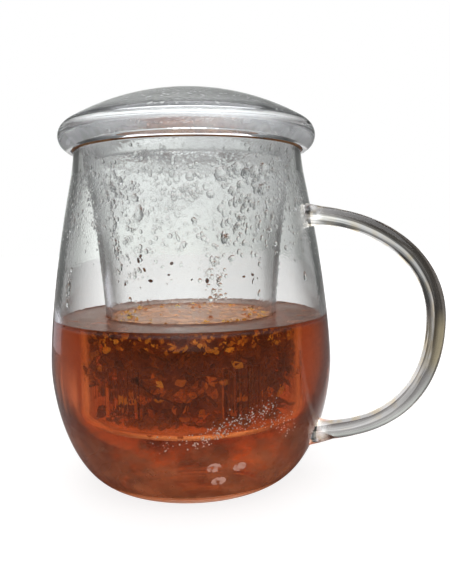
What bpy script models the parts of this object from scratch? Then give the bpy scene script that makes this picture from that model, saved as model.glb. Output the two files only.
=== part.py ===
"""Glass tea cup with a rod handle, a glass infuser, a domed glass lid, the tea and its leaves.

Metres, +Z up. The origin is the middle of the foot, on the surface that the cup stands on, and the
handle points along +X. Every turned piece has the same number of facets, in the same phase, so that
the gaps between neighbouring pieces are even all the way round.
"""
import math
import random

import bmesh
import bpy
from mathutils import Matrix, Vector, noise

MM = 0.001
SEGMENTS = 40
MERGE = 0.0001
POLE = 1e-6
GAP = 0.3 * MM

# Cup: a pot-bellied glass body on a small flat foot, with a straight rolled lip
FOOT_RADIUS = 28.0 * MM
BELLY_RADIUS = 44.5 * MM
BELLY_HEIGHT = 37.0 * MM
BOWL_POWER = 1.8
SHOULDER_DROP = 8.6 * MM
SHOULDER_HEIGHT = 96.6 * MM
SHOULDER_POWER = 1.5
LIP_START = 94.5 * MM
LIP_TOP = 102.6 * MM
LIP_RADIUS = 35.4 * MM
CUP_WALL = 2.0 * MM
CUP_FLOOR = 3.2 * MM
FLOOR_CORNER = 2.4 * MM
CORNER_RISE = 1.6 * MM
CORNER_CUT = 0.25 * MM
BOWL_START = 8.0 * MM
LIP_HOLLOW = 0.15 * MM

# Handle: a solid glass rod bent in one loop, flared where it is fused to the body
ROD_RADIUS = 2.6 * MM
LOOP_REACH = 75.1 * MM
LOOP_HEIGHT = 52.0 * MM
UPPER_JOINT = (36.0 * MM, 81.6 * MM)
UPPER_PULL = (58.0 * MM, 81.8 * MM)
UPPER_TURN = 70.0 * MM
LOWER_TURN = 34.0 * MM
LOWER_PULL = (66.0 * MM, 18.0 * MM)
LOWER_JOINT = (38.0 * MM, 16.0 * MM)
UPPER_FLARE = 1.3
LOWER_FLARE = 1.5
FLARE_LENGTH = 9.0 * MM
FLARE_START = 2.5 * MM
LOOP_STEPS = 15

# Infuser: a thin glass beaker that hangs in the mouth by its flange
INFUSER_FOOT = 26.6 * MM
INFUSER_FLARE = 6.1 * MM
INFUSER_POWER = 2.2
INFUSER_BASE = 19.4 * MM
INFUSER_TOP = 101.4 * MM
INFUSER_WALL = 1.6 * MM
INFUSER_FLOOR = 1.8 * MM
INFUSER_CORNER = 4.5 * MM
FLANGE_RADIUS = 35.2 * MM
FLANGE_THICKNESS = 1.4 * MM
FLANGE_INSET = 0.3 * MM
MOUTH_ROUND = 0.8 * MM

# Slits: groups of narrow upright cuts low in the infuser's wall
SLIT_GROUPS = 5
SLITS_IN_GROUP = 4
SLIT_SPACING = 3.3 * MM
SLIT_WIDTH = 1.4 * MM
SLIT_BOTTOM = 25.5 * MM
SLIT_TOP = 38.5 * MM
SLIT_REACH = 6.0 * MM
BRIDGE_BITE = 0.5 * MM

# Lid: a hollow glass dome with a rounded rim that hangs a little over the cup's lip
LID_TOP = 120.8 * MM
DOME_RADIUS = 72.6 * MM
LID_EDGE_RADIUS = 4.67 * MM
LID_EDGE_CENTRE = (35.16 * MM, 106.3 * MM)
LID_WALL = 2.2 * MM
LID_OVERHANG = 35.85 * MM
LID_TIP = 0.6 * MM
LID_TIP_LIFT = 0.35 * MM
LID_SEAT_ROUND = 0.5 * MM
LID_HOLLOW_REACH = 0.6 * MM
SKIRT_RADIUS = 30.4 * MM
SKIRT_TAPER = 0.8 * MM
SKIRT_WALL = 2.0 * MM
SKIRT_BOTTOM = 98.4 * MM

# Tea and the leaves that steep in the infuser
TEA_LEVEL = 51.0 * MM
LEAF_RADIUS = 22.4 * MM
LEAF_TOP = 52.0 * MM
LEAF_LUMP = 0.7 * MM
LEAF_SIDE_POWER = 0.4
LEAF_TOP_POWER = 0.6
LEAF_SEED = 7
BED_FACETS = 28
BED_RINGS = 10
PETAL_LENGTH = 8.5 * MM
PETAL_WIDTH = 5.5 * MM
PETAL_THICKNESS = 0.7 * MM
PETAL_WAVE = 0.25 * MM
PETAL_CURL = (0.15, 0.35)
STEM_RADIUS = 0.55 * MM
STEM_LENGTH = 9.0 * MM
STEM_BOW = (0.2, 0.6)
BUD_RADIUS = 1.7 * MM
BUD_SHAPE = (1.5, 1.0, 0.75)
PIECE_TILT = 0.08
PIECE_SINK = 0.35 * MM
PIECE_LIFT = 0.1 * MM
LEAF_PIECES = 14
LEAF_SPREAD = 9.5 * MM


def clear_scene():
    """Remove every object that the scene starts with."""
    for item in list(bpy.data.objects):
        bpy.data.objects.remove(item, do_unlink=True)


def new_collection(name):
    """Make a collection and link it to the scene."""
    collection = bpy.data.collections.new(name)
    bpy.context.scene.collection.children.link(collection)
    return collection


def new_material(name, colour, roughness, transmission=0.0, ior=1.45):
    """Make a plain Principled material."""
    material = bpy.data.materials.new(name)
    material.use_nodes = True
    shader = material.node_tree.nodes["Principled BSDF"]
    shader.inputs["Base Color"].default_value = (*colour, 1.0)
    shader.inputs["Roughness"].default_value = roughness
    shader.inputs["Metallic"].default_value = 0.0
    shader.inputs["Transmission Weight"].default_value = transmission
    shader.inputs["IOR"].default_value = ior
    return material


def hide_as_guide(item):
    """Show a cutter or a guide as wires only, and leave it out of the model."""
    item.hide_render = True
    item.display_type = "WIRE"


def arc(centre, radius, start, end, steps):
    """Return points on an arc in the profile plane, angles in degrees, ends included."""
    points = []
    for step in range(steps + 1):
        angle = math.radians(start + (end - start) * step / steps)
        points.append((centre[0] + radius * math.cos(angle), centre[1] + radius * math.sin(angle)))
    return points


def spread(start, end, steps):
    """Return evenly spaced values from start to end, ends included."""
    return [start + (end - start) * step / steps for step in range(steps + 1)]


def turned(name, outline, collection, material=None):
    """Turn an outline of (radius, height) points about Z with a Screw modifier."""
    mesh = bpy.data.meshes.new(name)
    edges = [(index, index + 1) for index in range(len(outline) - 1)]
    mesh.from_pydata([(radius, 0.0, height) for radius, height in outline], edges, [])
    item = bpy.data.objects.new(name, mesh)
    collection.objects.link(item)
    if material is not None:
        mesh.materials.append(material)
    screw = item.modifiers.new("turn", "SCREW")
    screw.axis = "Z"
    screw.steps = SEGMENTS
    screw.render_steps = SEGMENTS
    screw.use_merge_vertices = True
    screw.merge_threshold = MERGE
    screw.use_smooth_shade = True
    return item


def boolean(item, operation, other=None, collection=None):
    """Add an exact Boolean with one object or with all objects of a collection."""
    modifier = item.modifiers.new(operation.lower(), "BOOLEAN")
    modifier.operation = operation
    modifier.solver = "EXACT"
    if collection is not None:
        modifier.operand_type = "COLLECTION"
        modifier.collection = collection
    else:
        modifier.object = other
    return modifier


def object_from(work, name, collection):
    """Turn a bmesh into an object of a collection and free it."""
    mesh = bpy.data.meshes.new(name)
    work.to_mesh(mesh)
    work.free()
    item = bpy.data.objects.new(name, mesh)
    collection.objects.link(item)
    return item


def applied_mesh(item):
    """Return a new mesh of the object as its modifiers show it."""
    bpy.context.view_layer.update()
    evaluated = item.evaluated_get(bpy.context.evaluated_depsgraph_get())
    return bpy.data.meshes.new_from_object(evaluated)


def weld(mesh):
    """Merge the doubled points of a mesh, such as those round a tube's caps."""
    work = bmesh.new()
    work.from_mesh(mesh)
    bmesh.ops.remove_doubles(work, verts=work.verts, dist=MERGE * 0.1)
    work.to_mesh(mesh)
    work.free()


def keep_outer_shell(mesh):
    """Fill the hollows that fusing sealed and drop loose scraps: only the largest shell stays."""
    work = bmesh.new()
    work.from_mesh(mesh)
    unseen = set(work.verts)
    shells = []
    while unseen:
        shell = {unseen.pop()}
        edge_of_shell = list(shell)
        while edge_of_shell:
            vertex = edge_of_shell.pop()
            near = {edge.other_vert(vertex) for edge in vertex.link_edges} & unseen
            unseen -= near
            shell |= near
            edge_of_shell += near
        shells.append(shell)
    outer = max(shells, key=len)
    bmesh.ops.delete(work, geom=[vertex for vertex in work.verts if vertex not in outer], context="VERTS")
    work.to_mesh(mesh)
    work.free()


def body_radius(height):
    """Outer radius of the cup's body at a height."""
    if height < BELLY_HEIGHT:
        rise = 1.0 - height / BELLY_HEIGHT
        bulge = (1.0 - rise ** BOWL_POWER) ** (1.0 / BOWL_POWER)
        return FOOT_RADIUS + (BELLY_RADIUS - FOOT_RADIUS) * bulge
    rise = (height - BELLY_HEIGHT) / (SHOULDER_HEIGHT - BELLY_HEIGHT)
    return BELLY_RADIUS - SHOULDER_DROP * rise ** SHOULDER_POWER


def cup_outer():
    """Outline of the cup's outer side, from the foot's edge up to where the lip begins."""
    bowl = [BELLY_HEIGHT * (1.0 - math.cos(angle)) for angle in spread(0.0, math.pi / 2, 8)]
    shoulder = spread(BELLY_HEIGHT, LIP_START, 5)[1:]
    points = [(body_radius(height), height) for height in bowl + shoulder]
    middle = (LIP_START + LIP_TOP) / 2
    points.append(((body_radius(LIP_START) + LIP_RADIUS) / 2 - LIP_HOLLOW, middle))
    return points


def bowl_inside(inset, floor, heights):
    """Outline at an inset from the body's outer side, from its rounded floor corner up."""
    corner = floor + CORNER_RISE
    points = [(body_radius(floor) - inset - FLOOR_CORNER, floor)]
    points.append((body_radius(corner) - inset - CORNER_CUT, corner))
    points += [(body_radius(height) - inset, height) for height in heights]
    return points


def cup_inner(inset, floor):
    """Outline of the cup's cavity at an inset from the wall's outer side, floor to lip."""
    heights = spread(BOWL_START, BELLY_HEIGHT, 4) + spread(BELLY_HEIGHT, LIP_START, 5)[1:]
    return [(0.0, floor)] + bowl_inside(inset, floor, heights)


def build_cup(parts, guides, material):
    """Body and handle, fused into one piece of glass."""
    lip = arc((LIP_RADIUS - CUP_WALL / 2, LIP_TOP - CUP_WALL / 2), CUP_WALL / 2, 0.0, 180.0, 4)
    outer = [(0.0, 0.0)] + cup_outer()
    outline = cup_inner(CUP_WALL, CUP_FLOOR) + lip[::-1] + outer[::-1]
    cup = turned("cup", outline, parts, material=material)
    handle = build_handle(guides)
    boolean(cup, "UNION", handle)
    return cup


def cubic(points, share):
    """Return the point at a share of a cubic Bezier curve."""
    rest = 1.0 - share
    weights = (rest ** 3, 3 * rest ** 2 * share, 3 * rest * share ** 2, share ** 3)
    return tuple(sum(weight * point[axis] for weight, point in zip(weights, points)) for axis in (0, 1))


def loop_points():
    """Middle line of the handle's rod, from the upper joint to the lower one."""
    bend = (LOOP_REACH, LOOP_HEIGHT)
    upper = (UPPER_JOINT, UPPER_PULL, (LOOP_REACH, UPPER_TURN), bend)
    lower = (bend, (LOOP_REACH, LOWER_TURN), LOWER_PULL, LOWER_JOINT)
    shares = spread(0.0, 1.0, LOOP_STEPS)
    return [cubic(upper, share) for share in shares] + [cubic(lower, share) for share in shares[1:]]


def flare(distance, size):
    """Return how much the rod swells at a distance from its joint."""
    return 1.0 + (size - 1.0) * max(0.0, 1.0 - distance / FLARE_LENGTH) ** 2


def build_handle(guides):
    """Rod handle as a mesh whose ends stop halfway into the body's wall."""
    points = loop_points()
    curve = bpy.data.curves.new("handle_line", "CURVE")
    curve.dimensions = "3D"
    curve.bevel_depth = ROD_RADIUS
    curve.bevel_resolution = 3
    curve.use_fill_caps = True
    spline = curve.splines.new("POLY")
    spline.points.add(len(points) - 1)
    for point, (reach, height) in zip(spline.points, points):
        point.co = (reach, 0.0, height, 1.0)
        upper = flare(math.dist((reach, height), UPPER_JOINT) - FLARE_START, UPPER_FLARE)
        lower = flare(math.dist((reach, height), LOWER_JOINT) - FLARE_START, LOWER_FLARE)
        point.radius = upper * lower
    line = bpy.data.objects.new("handle_line", curve)
    guides.objects.link(line)
    mesh = applied_mesh(line)
    weld(mesh)
    handle = bpy.data.objects.new("handle_rod", mesh)
    handle.matrix_world = line.matrix_world
    guides.objects.link(handle)
    bpy.data.objects.remove(line)
    core = cup_inner(CUP_WALL / 2, CUP_FLOOR - CUP_WALL / 2) + [(0.0, LIP_START)]
    trim = turned("handle_trim", core[::-1], guides)
    boolean(handle, "DIFFERENCE", trim)
    hide_as_guide(handle)
    hide_as_guide(trim)
    return handle


def infuser_radius(height):
    """Outer radius of the infuser at a height."""
    rise = max(0.0, (height - INFUSER_BASE) / (INFUSER_TOP - INFUSER_BASE))
    return INFUSER_FOOT + INFUSER_FLARE * rise ** INFUSER_POWER


def infuser_skin(offset, top, steps):
    """Outline parallel to the infuser's outer side, from the axis under its floor up to a height."""
    corner = INFUSER_CORNER + offset
    centre = (infuser_radius(INFUSER_BASE) - INFUSER_CORNER, INFUSER_BASE + INFUSER_CORNER)
    points = [(0.0, INFUSER_BASE - offset)] + arc(centre, corner, -90.0, 0.0, 3)
    for height in spread(centre[1], top, steps)[1:]:
        points.append((infuser_radius(height) + offset, height))
    return points


def infuser_inside(inset, floor, top, steps):
    """Outline at an inset from the infuser's outer side, with its floor at a height of its own."""
    points = infuser_skin(-inset, top, steps)
    points[0] = (0.0, floor)
    points[1] = (points[1][0], floor)
    return points


def slit_angles():
    """Angles of the slits round the infuser."""
    step = SLIT_SPACING / INFUSER_FOOT
    middle = (SLITS_IN_GROUP - 1) / 2
    angles = []
    for group in range(SLIT_GROUPS):
        start = 2 * math.pi * (group + 0.5) / SLIT_GROUPS
        angles += [start + (index - middle) * step for index in range(SLITS_IN_GROUP)]
    return angles


def slit_bars(name, reach, shrink, collection):
    """Upright bars through the infuser's wall at each slit, smaller than the slit by shrink all round."""
    height = SLIT_TOP - SLIT_BOTTOM - 2 * shrink
    for index, angle in enumerate(slit_angles()):
        work = bmesh.new()
        bmesh.ops.create_cube(work, size=1.0)
        bmesh.ops.scale(work, vec=(reach, SLIT_WIDTH - 2 * shrink, height), verts=work.verts)
        bar = object_from(work, f"{name}_{index:02d}", collection)
        middle = (SLIT_BOTTOM + SLIT_TOP) / 2
        radius = infuser_radius(middle) - INFUSER_WALL / 2
        bar.location = (radius * math.cos(angle), radius * math.sin(angle), middle)
        bar.rotation_euler = (0.0, 0.0, angle)
        hide_as_guide(bar)


def build_infuser(parts, slits, material):
    """Slitted glass beaker with a flange that lies on the cup's lip."""
    seat = LIP_TOP + GAP
    outer = infuser_skin(0.0, INFUSER_TOP, 6)
    flange = [(infuser_radius(INFUSER_TOP) + FLANGE_INSET, seat)]
    flange += arc((FLANGE_RADIUS - FLANGE_THICKNESS / 2, seat + FLANGE_THICKNESS / 2),
                  FLANGE_THICKNESS / 2, -90.0, 90.0, 3)
    mouth = [(infuser_radius(INFUSER_TOP) - INFUSER_WALL + MOUTH_ROUND, seat + FLANGE_THICKNESS)]
    inner = infuser_inside(INFUSER_WALL, INFUSER_BASE + INFUSER_FLOOR, INFUSER_TOP, 6)
    outline = inner + mouth + flange[::-1] + outer[::-1]
    infuser = turned("infuser", outline, parts, material=material)
    slit_bars("slit", SLIT_REACH, 0.0, slits)
    boolean(infuser, "DIFFERENCE", collection=slits)
    return infuser


def build_lid(parts, material):
    """Hollow dome with a rounded rim, a seat on the infuser's flange and a skirt in its mouth."""
    centre_height = LID_TOP - DOME_RADIUS
    tangent = math.degrees(math.atan2(LID_EDGE_CENTRE[1] - centre_height, LID_EDGE_CENTRE[0]))
    dome = arc((0.0, centre_height), DOME_RADIUS, 90.0, tangent, 5)
    dome[0] = (0.0, LID_TOP)
    rim = arc(LID_EDGE_CENTRE, LID_EDGE_RADIUS, tangent, -66.0, 6)[1:]
    tip_height = LID_EDGE_CENTRE[1] - LID_EDGE_RADIUS + LID_TIP + LID_TIP_LIFT
    seat = LIP_TOP + FLANGE_THICKNESS + 2 * GAP
    under = [(LID_OVERHANG + LID_TIP * 0.4, tip_height - LID_TIP * 0.7), (LID_OVERHANG, tip_height)]
    under += [(LID_OVERHANG, seat - LID_SEAT_ROUND), (LID_OVERHANG - LID_SEAT_ROUND, seat)]
    under.append((SKIRT_RADIUS, seat))
    skirt_end = (SKIRT_RADIUS - SKIRT_TAPER - SKIRT_WALL / 2, SKIRT_BOTTOM + SKIRT_WALL / 2)
    skirt = arc(skirt_end, SKIRT_WALL / 2, 0.0, -180.0, 4)
    floor = seat + SKIRT_WALL
    throat = SKIRT_RADIUS - SKIRT_WALL
    inside = [(throat, floor - LID_SEAT_ROUND), (throat + LID_SEAT_ROUND, floor)]
    inner_radius = DOME_RADIUS - LID_WALL
    hollow_edge = LID_EDGE_CENTRE[0] + LID_HOLLOW_REACH
    hollow_top = centre_height + math.sqrt(inner_radius ** 2 - hollow_edge ** 2)
    bend = (hollow_top - floor) / 2
    inside += arc((hollow_edge, floor + bend), bend, -90.0, 60.0, 4)
    end = math.degrees(math.acos(hollow_edge / inner_radius))
    crown = arc((0.0, centre_height), inner_radius, end, 90.0, 5)[1:]
    crown[-1] = (0.0, LID_TOP - LID_WALL)
    outline = dome + rim + under + skirt + inside + crown
    return turned("lid", outline, parts, material=material)


def leaf_surface(name, grow, collection):
    """Closed lumpy bed of leaves, larger by grow all round, standing on the infuser's floor."""
    work = bmesh.new()
    bmesh.ops.create_uvsphere(work, u_segments=BED_FACETS, v_segments=BED_RINGS, radius=1.0)
    bottom = INFUSER_BASE + INFUSER_FLOOR + GAP
    half = (LEAF_TOP - bottom) / 2
    for vertex in work.verts:
        x, y, z = vertex.co
        side = math.hypot(x, y)
        lump = LEAF_LUMP * noise.noise(Vector((x * 3.1, y * 3.1, z * 2.3 + 4.0)))
        height = bottom + half + math.copysign(abs(z) ** LEAF_TOP_POWER, z) * (half + grow)
        height += lump * max(z, 0.0)
        stretch = 0.0
        if side > POLE:
            stretch = ((LEAF_RADIUS + grow) * side ** LEAF_SIDE_POWER + lump) / side
        vertex.co = (x * stretch, y * stretch, height)
    bmesh.ops.triangulate(work, faces=work.faces)
    return object_from(work, name, collection)


def petal(name, curl, collection):
    """Thin cupped petal, pointed at both ends, as a closed solid."""
    work = bmesh.new()
    bmesh.ops.create_grid(work, x_segments=4, y_segments=2, size=0.5)
    for vertex in work.verts:
        along, across = vertex.co.x, vertex.co.y
        width = PETAL_WIDTH * (0.25 + 0.75 * math.cos(math.pi * along))
        lift = curl * PETAL_WIDTH * (along * along * 0.7 + across * across * 1.3)
        wave = PETAL_WAVE * math.sin(9.0 * along + 5.0 * across)
        vertex.co = (PETAL_LENGTH * along, width * across, lift + wave)
    bmesh.ops.triangulate(work, faces=work.faces)
    item = object_from(work, name, collection)
    thick = item.modifiers.new("thickness", "SOLIDIFY")
    thick.thickness = PETAL_THICKNESS
    thick.offset = 0.0
    return item


def stem(name, bow, collection):
    """Short bent stem as a closed tube."""
    work = bmesh.new()
    bmesh.ops.create_cone(work, cap_ends=True, segments=6, radius1=STEM_RADIUS, radius2=STEM_RADIUS * 0.7,
                          depth=STEM_LENGTH, matrix=Matrix.Rotation(math.pi / 2, 4, "Y"))
    sides = [edge for edge in work.edges if abs(edge.verts[0].co.x - edge.verts[1].co.x) > STEM_LENGTH / 2]
    bmesh.ops.subdivide_edges(work, edges=sides, cuts=3)
    for vertex in work.verts:
        share = vertex.co.x / STEM_LENGTH
        vertex.co.y += bow * STEM_LENGTH * (0.25 - share * share)
    bmesh.ops.triangulate(work, faces=work.faces)
    return object_from(work, name, collection)


def bud(name, collection):
    """Small lumpy bud or curled leaf."""
    work = bmesh.new()
    bmesh.ops.create_icosphere(work, subdivisions=1, radius=BUD_RADIUS)
    for vertex in work.verts:
        lump = 1.0 + 0.25 * noise.noise(vertex.co * 900.0)
        vertex.co = Vector(BUD_SHAPE) * vertex.co * lump
    return object_from(work, name, collection)


def build_leaves(parts, material):
    """Bed of steeped leaves with petals, stems and buds fused on where it breaks the surface."""
    draw = random.Random(LEAF_SEED)
    pieces = new_collection("leaf_pieces")
    core = leaf_surface("leaf_core", 0.0, parts)
    golden = math.pi * (3.0 - math.sqrt(5.0))
    for index in range(LEAF_PIECES):
        name = f"leaf_piece_{index:02d}"
        kind = index % 3
        if kind == 0:
            piece = petal(name, draw.uniform(*PETAL_CURL), pieces)
        elif kind == 1:
            piece = stem(name, draw.uniform(*STEM_BOW), pieces)
        else:
            piece = bud(name, pieces)
        reach = LEAF_SPREAD * math.sqrt((index + 0.5) / LEAF_PIECES)
        place = golden * index
        height = LEAF_TOP + PIECE_LIFT - PIECE_SINK * (reach / LEAF_SPREAD) ** 2
        piece.location = (reach * math.cos(place), reach * math.sin(place), height)
        tilt = [draw.uniform(-PIECE_TILT, PIECE_TILT) for axis in "XY"]
        piece.rotation_euler = (*tilt, draw.uniform(0.0, 2 * math.pi))
    boolean(core, "UNION", collection=pieces)
    mesh = applied_mesh(core)
    keep_outer_shell(mesh)
    mesh.name = "tea_leaves"
    mesh.materials.clear()
    mesh.materials.append(material)
    leaves = bpy.data.objects.new("tea_leaves", mesh)
    parts.objects.link(leaves)
    for item in [core] + list(pieces.objects):
        bpy.data.objects.remove(item, do_unlink=True)
    bpy.data.collections.remove(pieces)
    return leaves


def build_tea(parts, guides, bridges, material):
    """Tea between cup and infuser and, through the slits, round the leaves inside the infuser."""
    wall = CUP_WALL + GAP
    floor = CUP_FLOOR + GAP
    heights = spread(BOWL_START, BELLY_HEIGHT, 4) + [TEA_LEVEL]
    outer = [(0.0, floor)] + bowl_inside(wall, floor, heights)
    hole = infuser_skin(GAP, TEA_LEVEL, 4)
    tea = turned("tea", hole + outer[::-1], parts, material=material)
    inside = infuser_inside(INFUSER_WALL + GAP, INFUSER_BASE + INFUSER_FLOOR + GAP, TEA_LEVEL, 4)
    inner_tea = turned("tea_inside", [(0.0, TEA_LEVEL)] + inside[::-1], bridges)
    bed = leaf_surface("leaf_room", GAP, guides)
    boolean(inner_tea, "DIFFERENCE", bed)
    slit_bars("bridge", INFUSER_WALL + 2 * (GAP + BRIDGE_BITE), GAP, bridges)
    hide_as_guide(inner_tea)
    hide_as_guide(bed)
    boolean(tea, "UNION", collection=bridges)
    return tea


def main():
    """Build the cup, its infuser, its lid, the tea and the leaves."""
    clear_scene()
    parts = new_collection("glass_cup_of_tea")
    guides = new_collection("cutters")
    slits = new_collection("slit_cutters")
    bridges = new_collection("tea_bridges")
    clear_glass = new_material("clear_glass", (0.94, 0.96, 0.96), 0.02, transmission=1.0)
    lid_glass = new_material("lid_glass", (0.93, 0.95, 0.97), 0.03, transmission=1.0)
    infuser_glass = new_material("infuser_glass", (0.92, 0.94, 0.94), 0.05, transmission=1.0)
    tea_liquid = new_material("tea_liquid", (0.48, 0.12, 0.03), 0.02, transmission=0.8, ior=1.33)
    wet_leaves = new_material("wet_leaves", (0.16, 0.07, 0.03), 0.45)
    build_cup(parts, guides, clear_glass)
    build_infuser(parts, slits, infuser_glass)
    build_lid(parts, lid_glass)
    build_leaves(parts, wet_leaves)
    build_tea(parts, guides, bridges, tea_liquid)


main()
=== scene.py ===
"""Glass cup of tea with a rod handle, a glass infuser and a domed glass lid, dressed for a studio picture.

Metres, +Z up. The origin is the middle of the cup's foot, on the surface that it stands on, and the
handle points along +X. The turned glass repeats the outlines of the frame's solids with finer facets.
"""

import logging
import math
import random
from collections.abc import Callable, Sequence
from dataclasses import dataclass
from enum import Enum
from functools import reduce

import bpy
import numpy as np
from mathutils import Matrix, Vector, noise


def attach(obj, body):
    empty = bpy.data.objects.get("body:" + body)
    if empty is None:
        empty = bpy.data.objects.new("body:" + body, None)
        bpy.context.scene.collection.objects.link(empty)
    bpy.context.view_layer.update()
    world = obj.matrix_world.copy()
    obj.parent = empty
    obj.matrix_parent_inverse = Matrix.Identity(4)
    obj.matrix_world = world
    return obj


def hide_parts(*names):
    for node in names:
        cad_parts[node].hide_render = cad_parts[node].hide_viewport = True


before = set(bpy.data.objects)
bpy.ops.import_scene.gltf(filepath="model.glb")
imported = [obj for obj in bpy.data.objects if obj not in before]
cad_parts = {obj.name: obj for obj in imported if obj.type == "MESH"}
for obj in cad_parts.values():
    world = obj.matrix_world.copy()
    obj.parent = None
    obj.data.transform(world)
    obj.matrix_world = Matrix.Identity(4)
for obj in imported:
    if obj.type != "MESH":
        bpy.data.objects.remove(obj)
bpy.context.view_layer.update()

log = logging.getLogger("glass_cup_of_tea")

MM = 0.001
SEGMENTS = 128
OVERLAP = 0.15 * MM
MERGE = 1e-6
CAMERA_SIDE = -65.0
WATER_IOR = 1.33
WHITE = (1.0, 1.0, 1.0, 1.0)
BODY = "root"

Outline = list[tuple[float, float]]
Stops = tuple[tuple[float, float], ...]
Colour = tuple[float, float, float]
Item = bpy.types.Object
Material = bpy.types.Material
Socket = bpy.types.NodeSocket


def spread(start: float, end: float, steps: int) -> list[float]:
    """Return evenly spaced values from start to end, ends included."""
    return [start + (end - start) * step / steps for step in range(steps + 1)]


def arc(centre: tuple[float, float], radius: float, start: float, end: float, steps: int) -> Outline:
    """Return points on an arc in the profile plane.

    Args:
        centre: Radius and height of the arc's centre.
        radius: Radius of the arc.
        start: First angle in degrees.
        end: Last angle in degrees.
        steps: How many equal steps the arc has.

    Returns:
        The points, ends included.
    """
    angles = [math.radians(angle) for angle in spread(start, end, steps)]
    return [(centre[0] + radius * math.cos(angle), centre[1] + radius * math.sin(angle)) for angle in angles]


class Fusing(Enum):
    """Ways to combine two solids."""

    ADD = "UNION"
    CUT = "DIFFERENCE"


class Workbench:
    """Modelling steps that the pieces share, each done with Blender's own tools."""

    @staticmethod
    def pick(*items: Item) -> None:
        """Leave edit mode and select only the given objects.

        Args:
            items: The objects, the last one of which is made active.
        """
        if bpy.context.mode != "OBJECT":
            bpy.ops.object.mode_set(mode="OBJECT")
        bpy.ops.object.select_all(action="DESELECT")
        for item in items:
            item.select_set(True)
            bpy.context.view_layer.objects.active = item

    @staticmethod
    def edit(item: Item, select: bool = True) -> None:
        """Open an object in edit mode.

        Args:
            item: The object.
            select: Whether all or none of it is selected.
        """
        Workbench.pick(item)
        bpy.ops.object.mode_set(mode="EDIT")
        bpy.ops.mesh.select_all(action="SELECT" if select else "DESELECT")

    @staticmethod
    def close() -> None:
        """Leave edit mode."""
        bpy.ops.object.mode_set(mode="OBJECT")

    @staticmethod
    def turn(name: str, outline: Outline, steps: int = SEGMENTS) -> Item:
        """Turn an outline about Z: one point is extruded along it and then spun.

        Args:
            name: Name of the new object.
            outline: Radius and height of each point.
            steps: How many facets the turned piece has.

        Returns:
            The closed, smooth-shaded piece.
        """
        Workbench.pick()
        bpy.ops.mesh.primitive_plane_add(size=2.0 * MM)
        item = bpy.context.object
        item.name = item.data.name = name
        Workbench.edit(item)
        bpy.ops.mesh.merge(type="CENTER")
        bpy.ops.transform.translate(value=(outline[0][0], 0.0, outline[0][1]))
        for near, far in zip(outline, outline[1:]):
            move = (far[0] - near[0], 0.0, far[1] - near[1])
            bpy.ops.mesh.extrude_vertices_move(TRANSFORM_OT_translate={"value": move})
        bpy.ops.mesh.select_all(action="SELECT")
        bpy.ops.mesh.spin(steps=steps, angle=2.0 * math.pi, center=(0.0, 0.0, 0.0), axis=(0.0, 0.0, 1.0))
        bpy.ops.mesh.select_all(action="SELECT")
        bpy.ops.mesh.remove_doubles(threshold=MERGE)
        bpy.ops.mesh.normals_make_consistent(inside=False)
        Workbench.close()
        Workbench.smooth(item)
        return item

    @staticmethod
    def smooth(item: Item, angle: float = 40.0) -> None:
        """Shade an object smooth, with creases only past an angle in degrees."""
        Workbench.pick(item)
        bpy.ops.object.shade_smooth_by_angle(angle=math.radians(angle))

    @staticmethod
    def modify(item: Item, kind: str, **settings: object) -> None:
        """Add a modifier and apply it.

        Args:
            item: The object.
            kind: Blender's name for the kind of modifier.
            settings: Its settings.
        """
        Workbench.pick(item)
        modifier = item.modifiers.new(kind.lower(), kind)
        for key, value in settings.items():
            setattr(modifier, key, value)
        bpy.ops.object.modifier_apply(modifier=modifier.name)

    @staticmethod
    def combine(item: Item, other: Item, way: Fusing) -> None:
        """Fuse or cut an object with another one, which is used up."""
        Workbench.modify(item, "BOOLEAN", object=other, operation=way.value, solver="EXACT")
        bpy.data.objects.remove(other, do_unlink=True)

    @staticmethod
    def settle(item: Item) -> None:
        """Write an object's place, turn and size into its mesh."""
        Workbench.pick(item)
        bpy.ops.object.transform_apply(location=True, rotation=True, scale=True)

    @staticmethod
    def join(name: str, items: Sequence[Item]) -> Item:
        """Join objects into one.

        Args:
            name: Name of the joined object.
            items: The objects.

        Returns:
            The joined object.
        """
        Workbench.pick(*items)
        bpy.ops.object.join()
        item = bpy.context.object
        item.name = item.data.name = name
        return item


@dataclass(frozen=True)
class Wall:
    """A turned wall that drops, bubbles and specks sit on.

    Args:
        radius: Gives the wall's radius at a height.
        side: 1 for a face that looks away from the axis, -1 for one that looks at it.
    """

    radius: Callable[[float], float]
    side: float = 1.0

    def normal(self, angle: float, height: float) -> Vector:
        """Find the direction in which the wall faces.

        Args:
            angle: Angle round the axis in radians.
            height: Height of the place.

        Returns:
            The direction, of length 1.
        """
        step = 0.2 * MM
        slope = (self.radius(height + step) - self.radius(height - step)) / (2 * step)
        return Vector((math.cos(angle), math.sin(angle), -slope)).normalized() * self.side

    def seat(self, angle: float, height: float, size: Vector, sink: float, turn: float = 0.0) -> Matrix:
        """Return the place of something that sits on the wall.

        Args:
            angle: Angle round the axis in radians.
            height: Height of the place.
            size: Size along the wall's upward direction, across it and out of it.
            sink: How deep its base goes into the wall.
            turn: Turn about the wall's normal in radians.

        Returns:
            The matrix that puts a piece with its base on the XY plane there.
        """
        out = self.normal(angle, height)
        across = Vector((-math.sin(angle), math.cos(angle), 0.0))
        up = across.cross(out).normalized()
        if up.z < 0.0:
            up, across = -up, -across
        across = out.cross(up)
        radius = self.radius(height)
        place = Vector((radius * math.cos(angle), radius * math.sin(angle), height))
        axes = Matrix((up, across, out)).transposed().to_4x4()
        spin = Matrix.Rotation(turn, 4, "Z")
        return Matrix.Translation(place - out * sink) @ axes @ spin @ Matrix.Diagonal((*size, 1.0))


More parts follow.
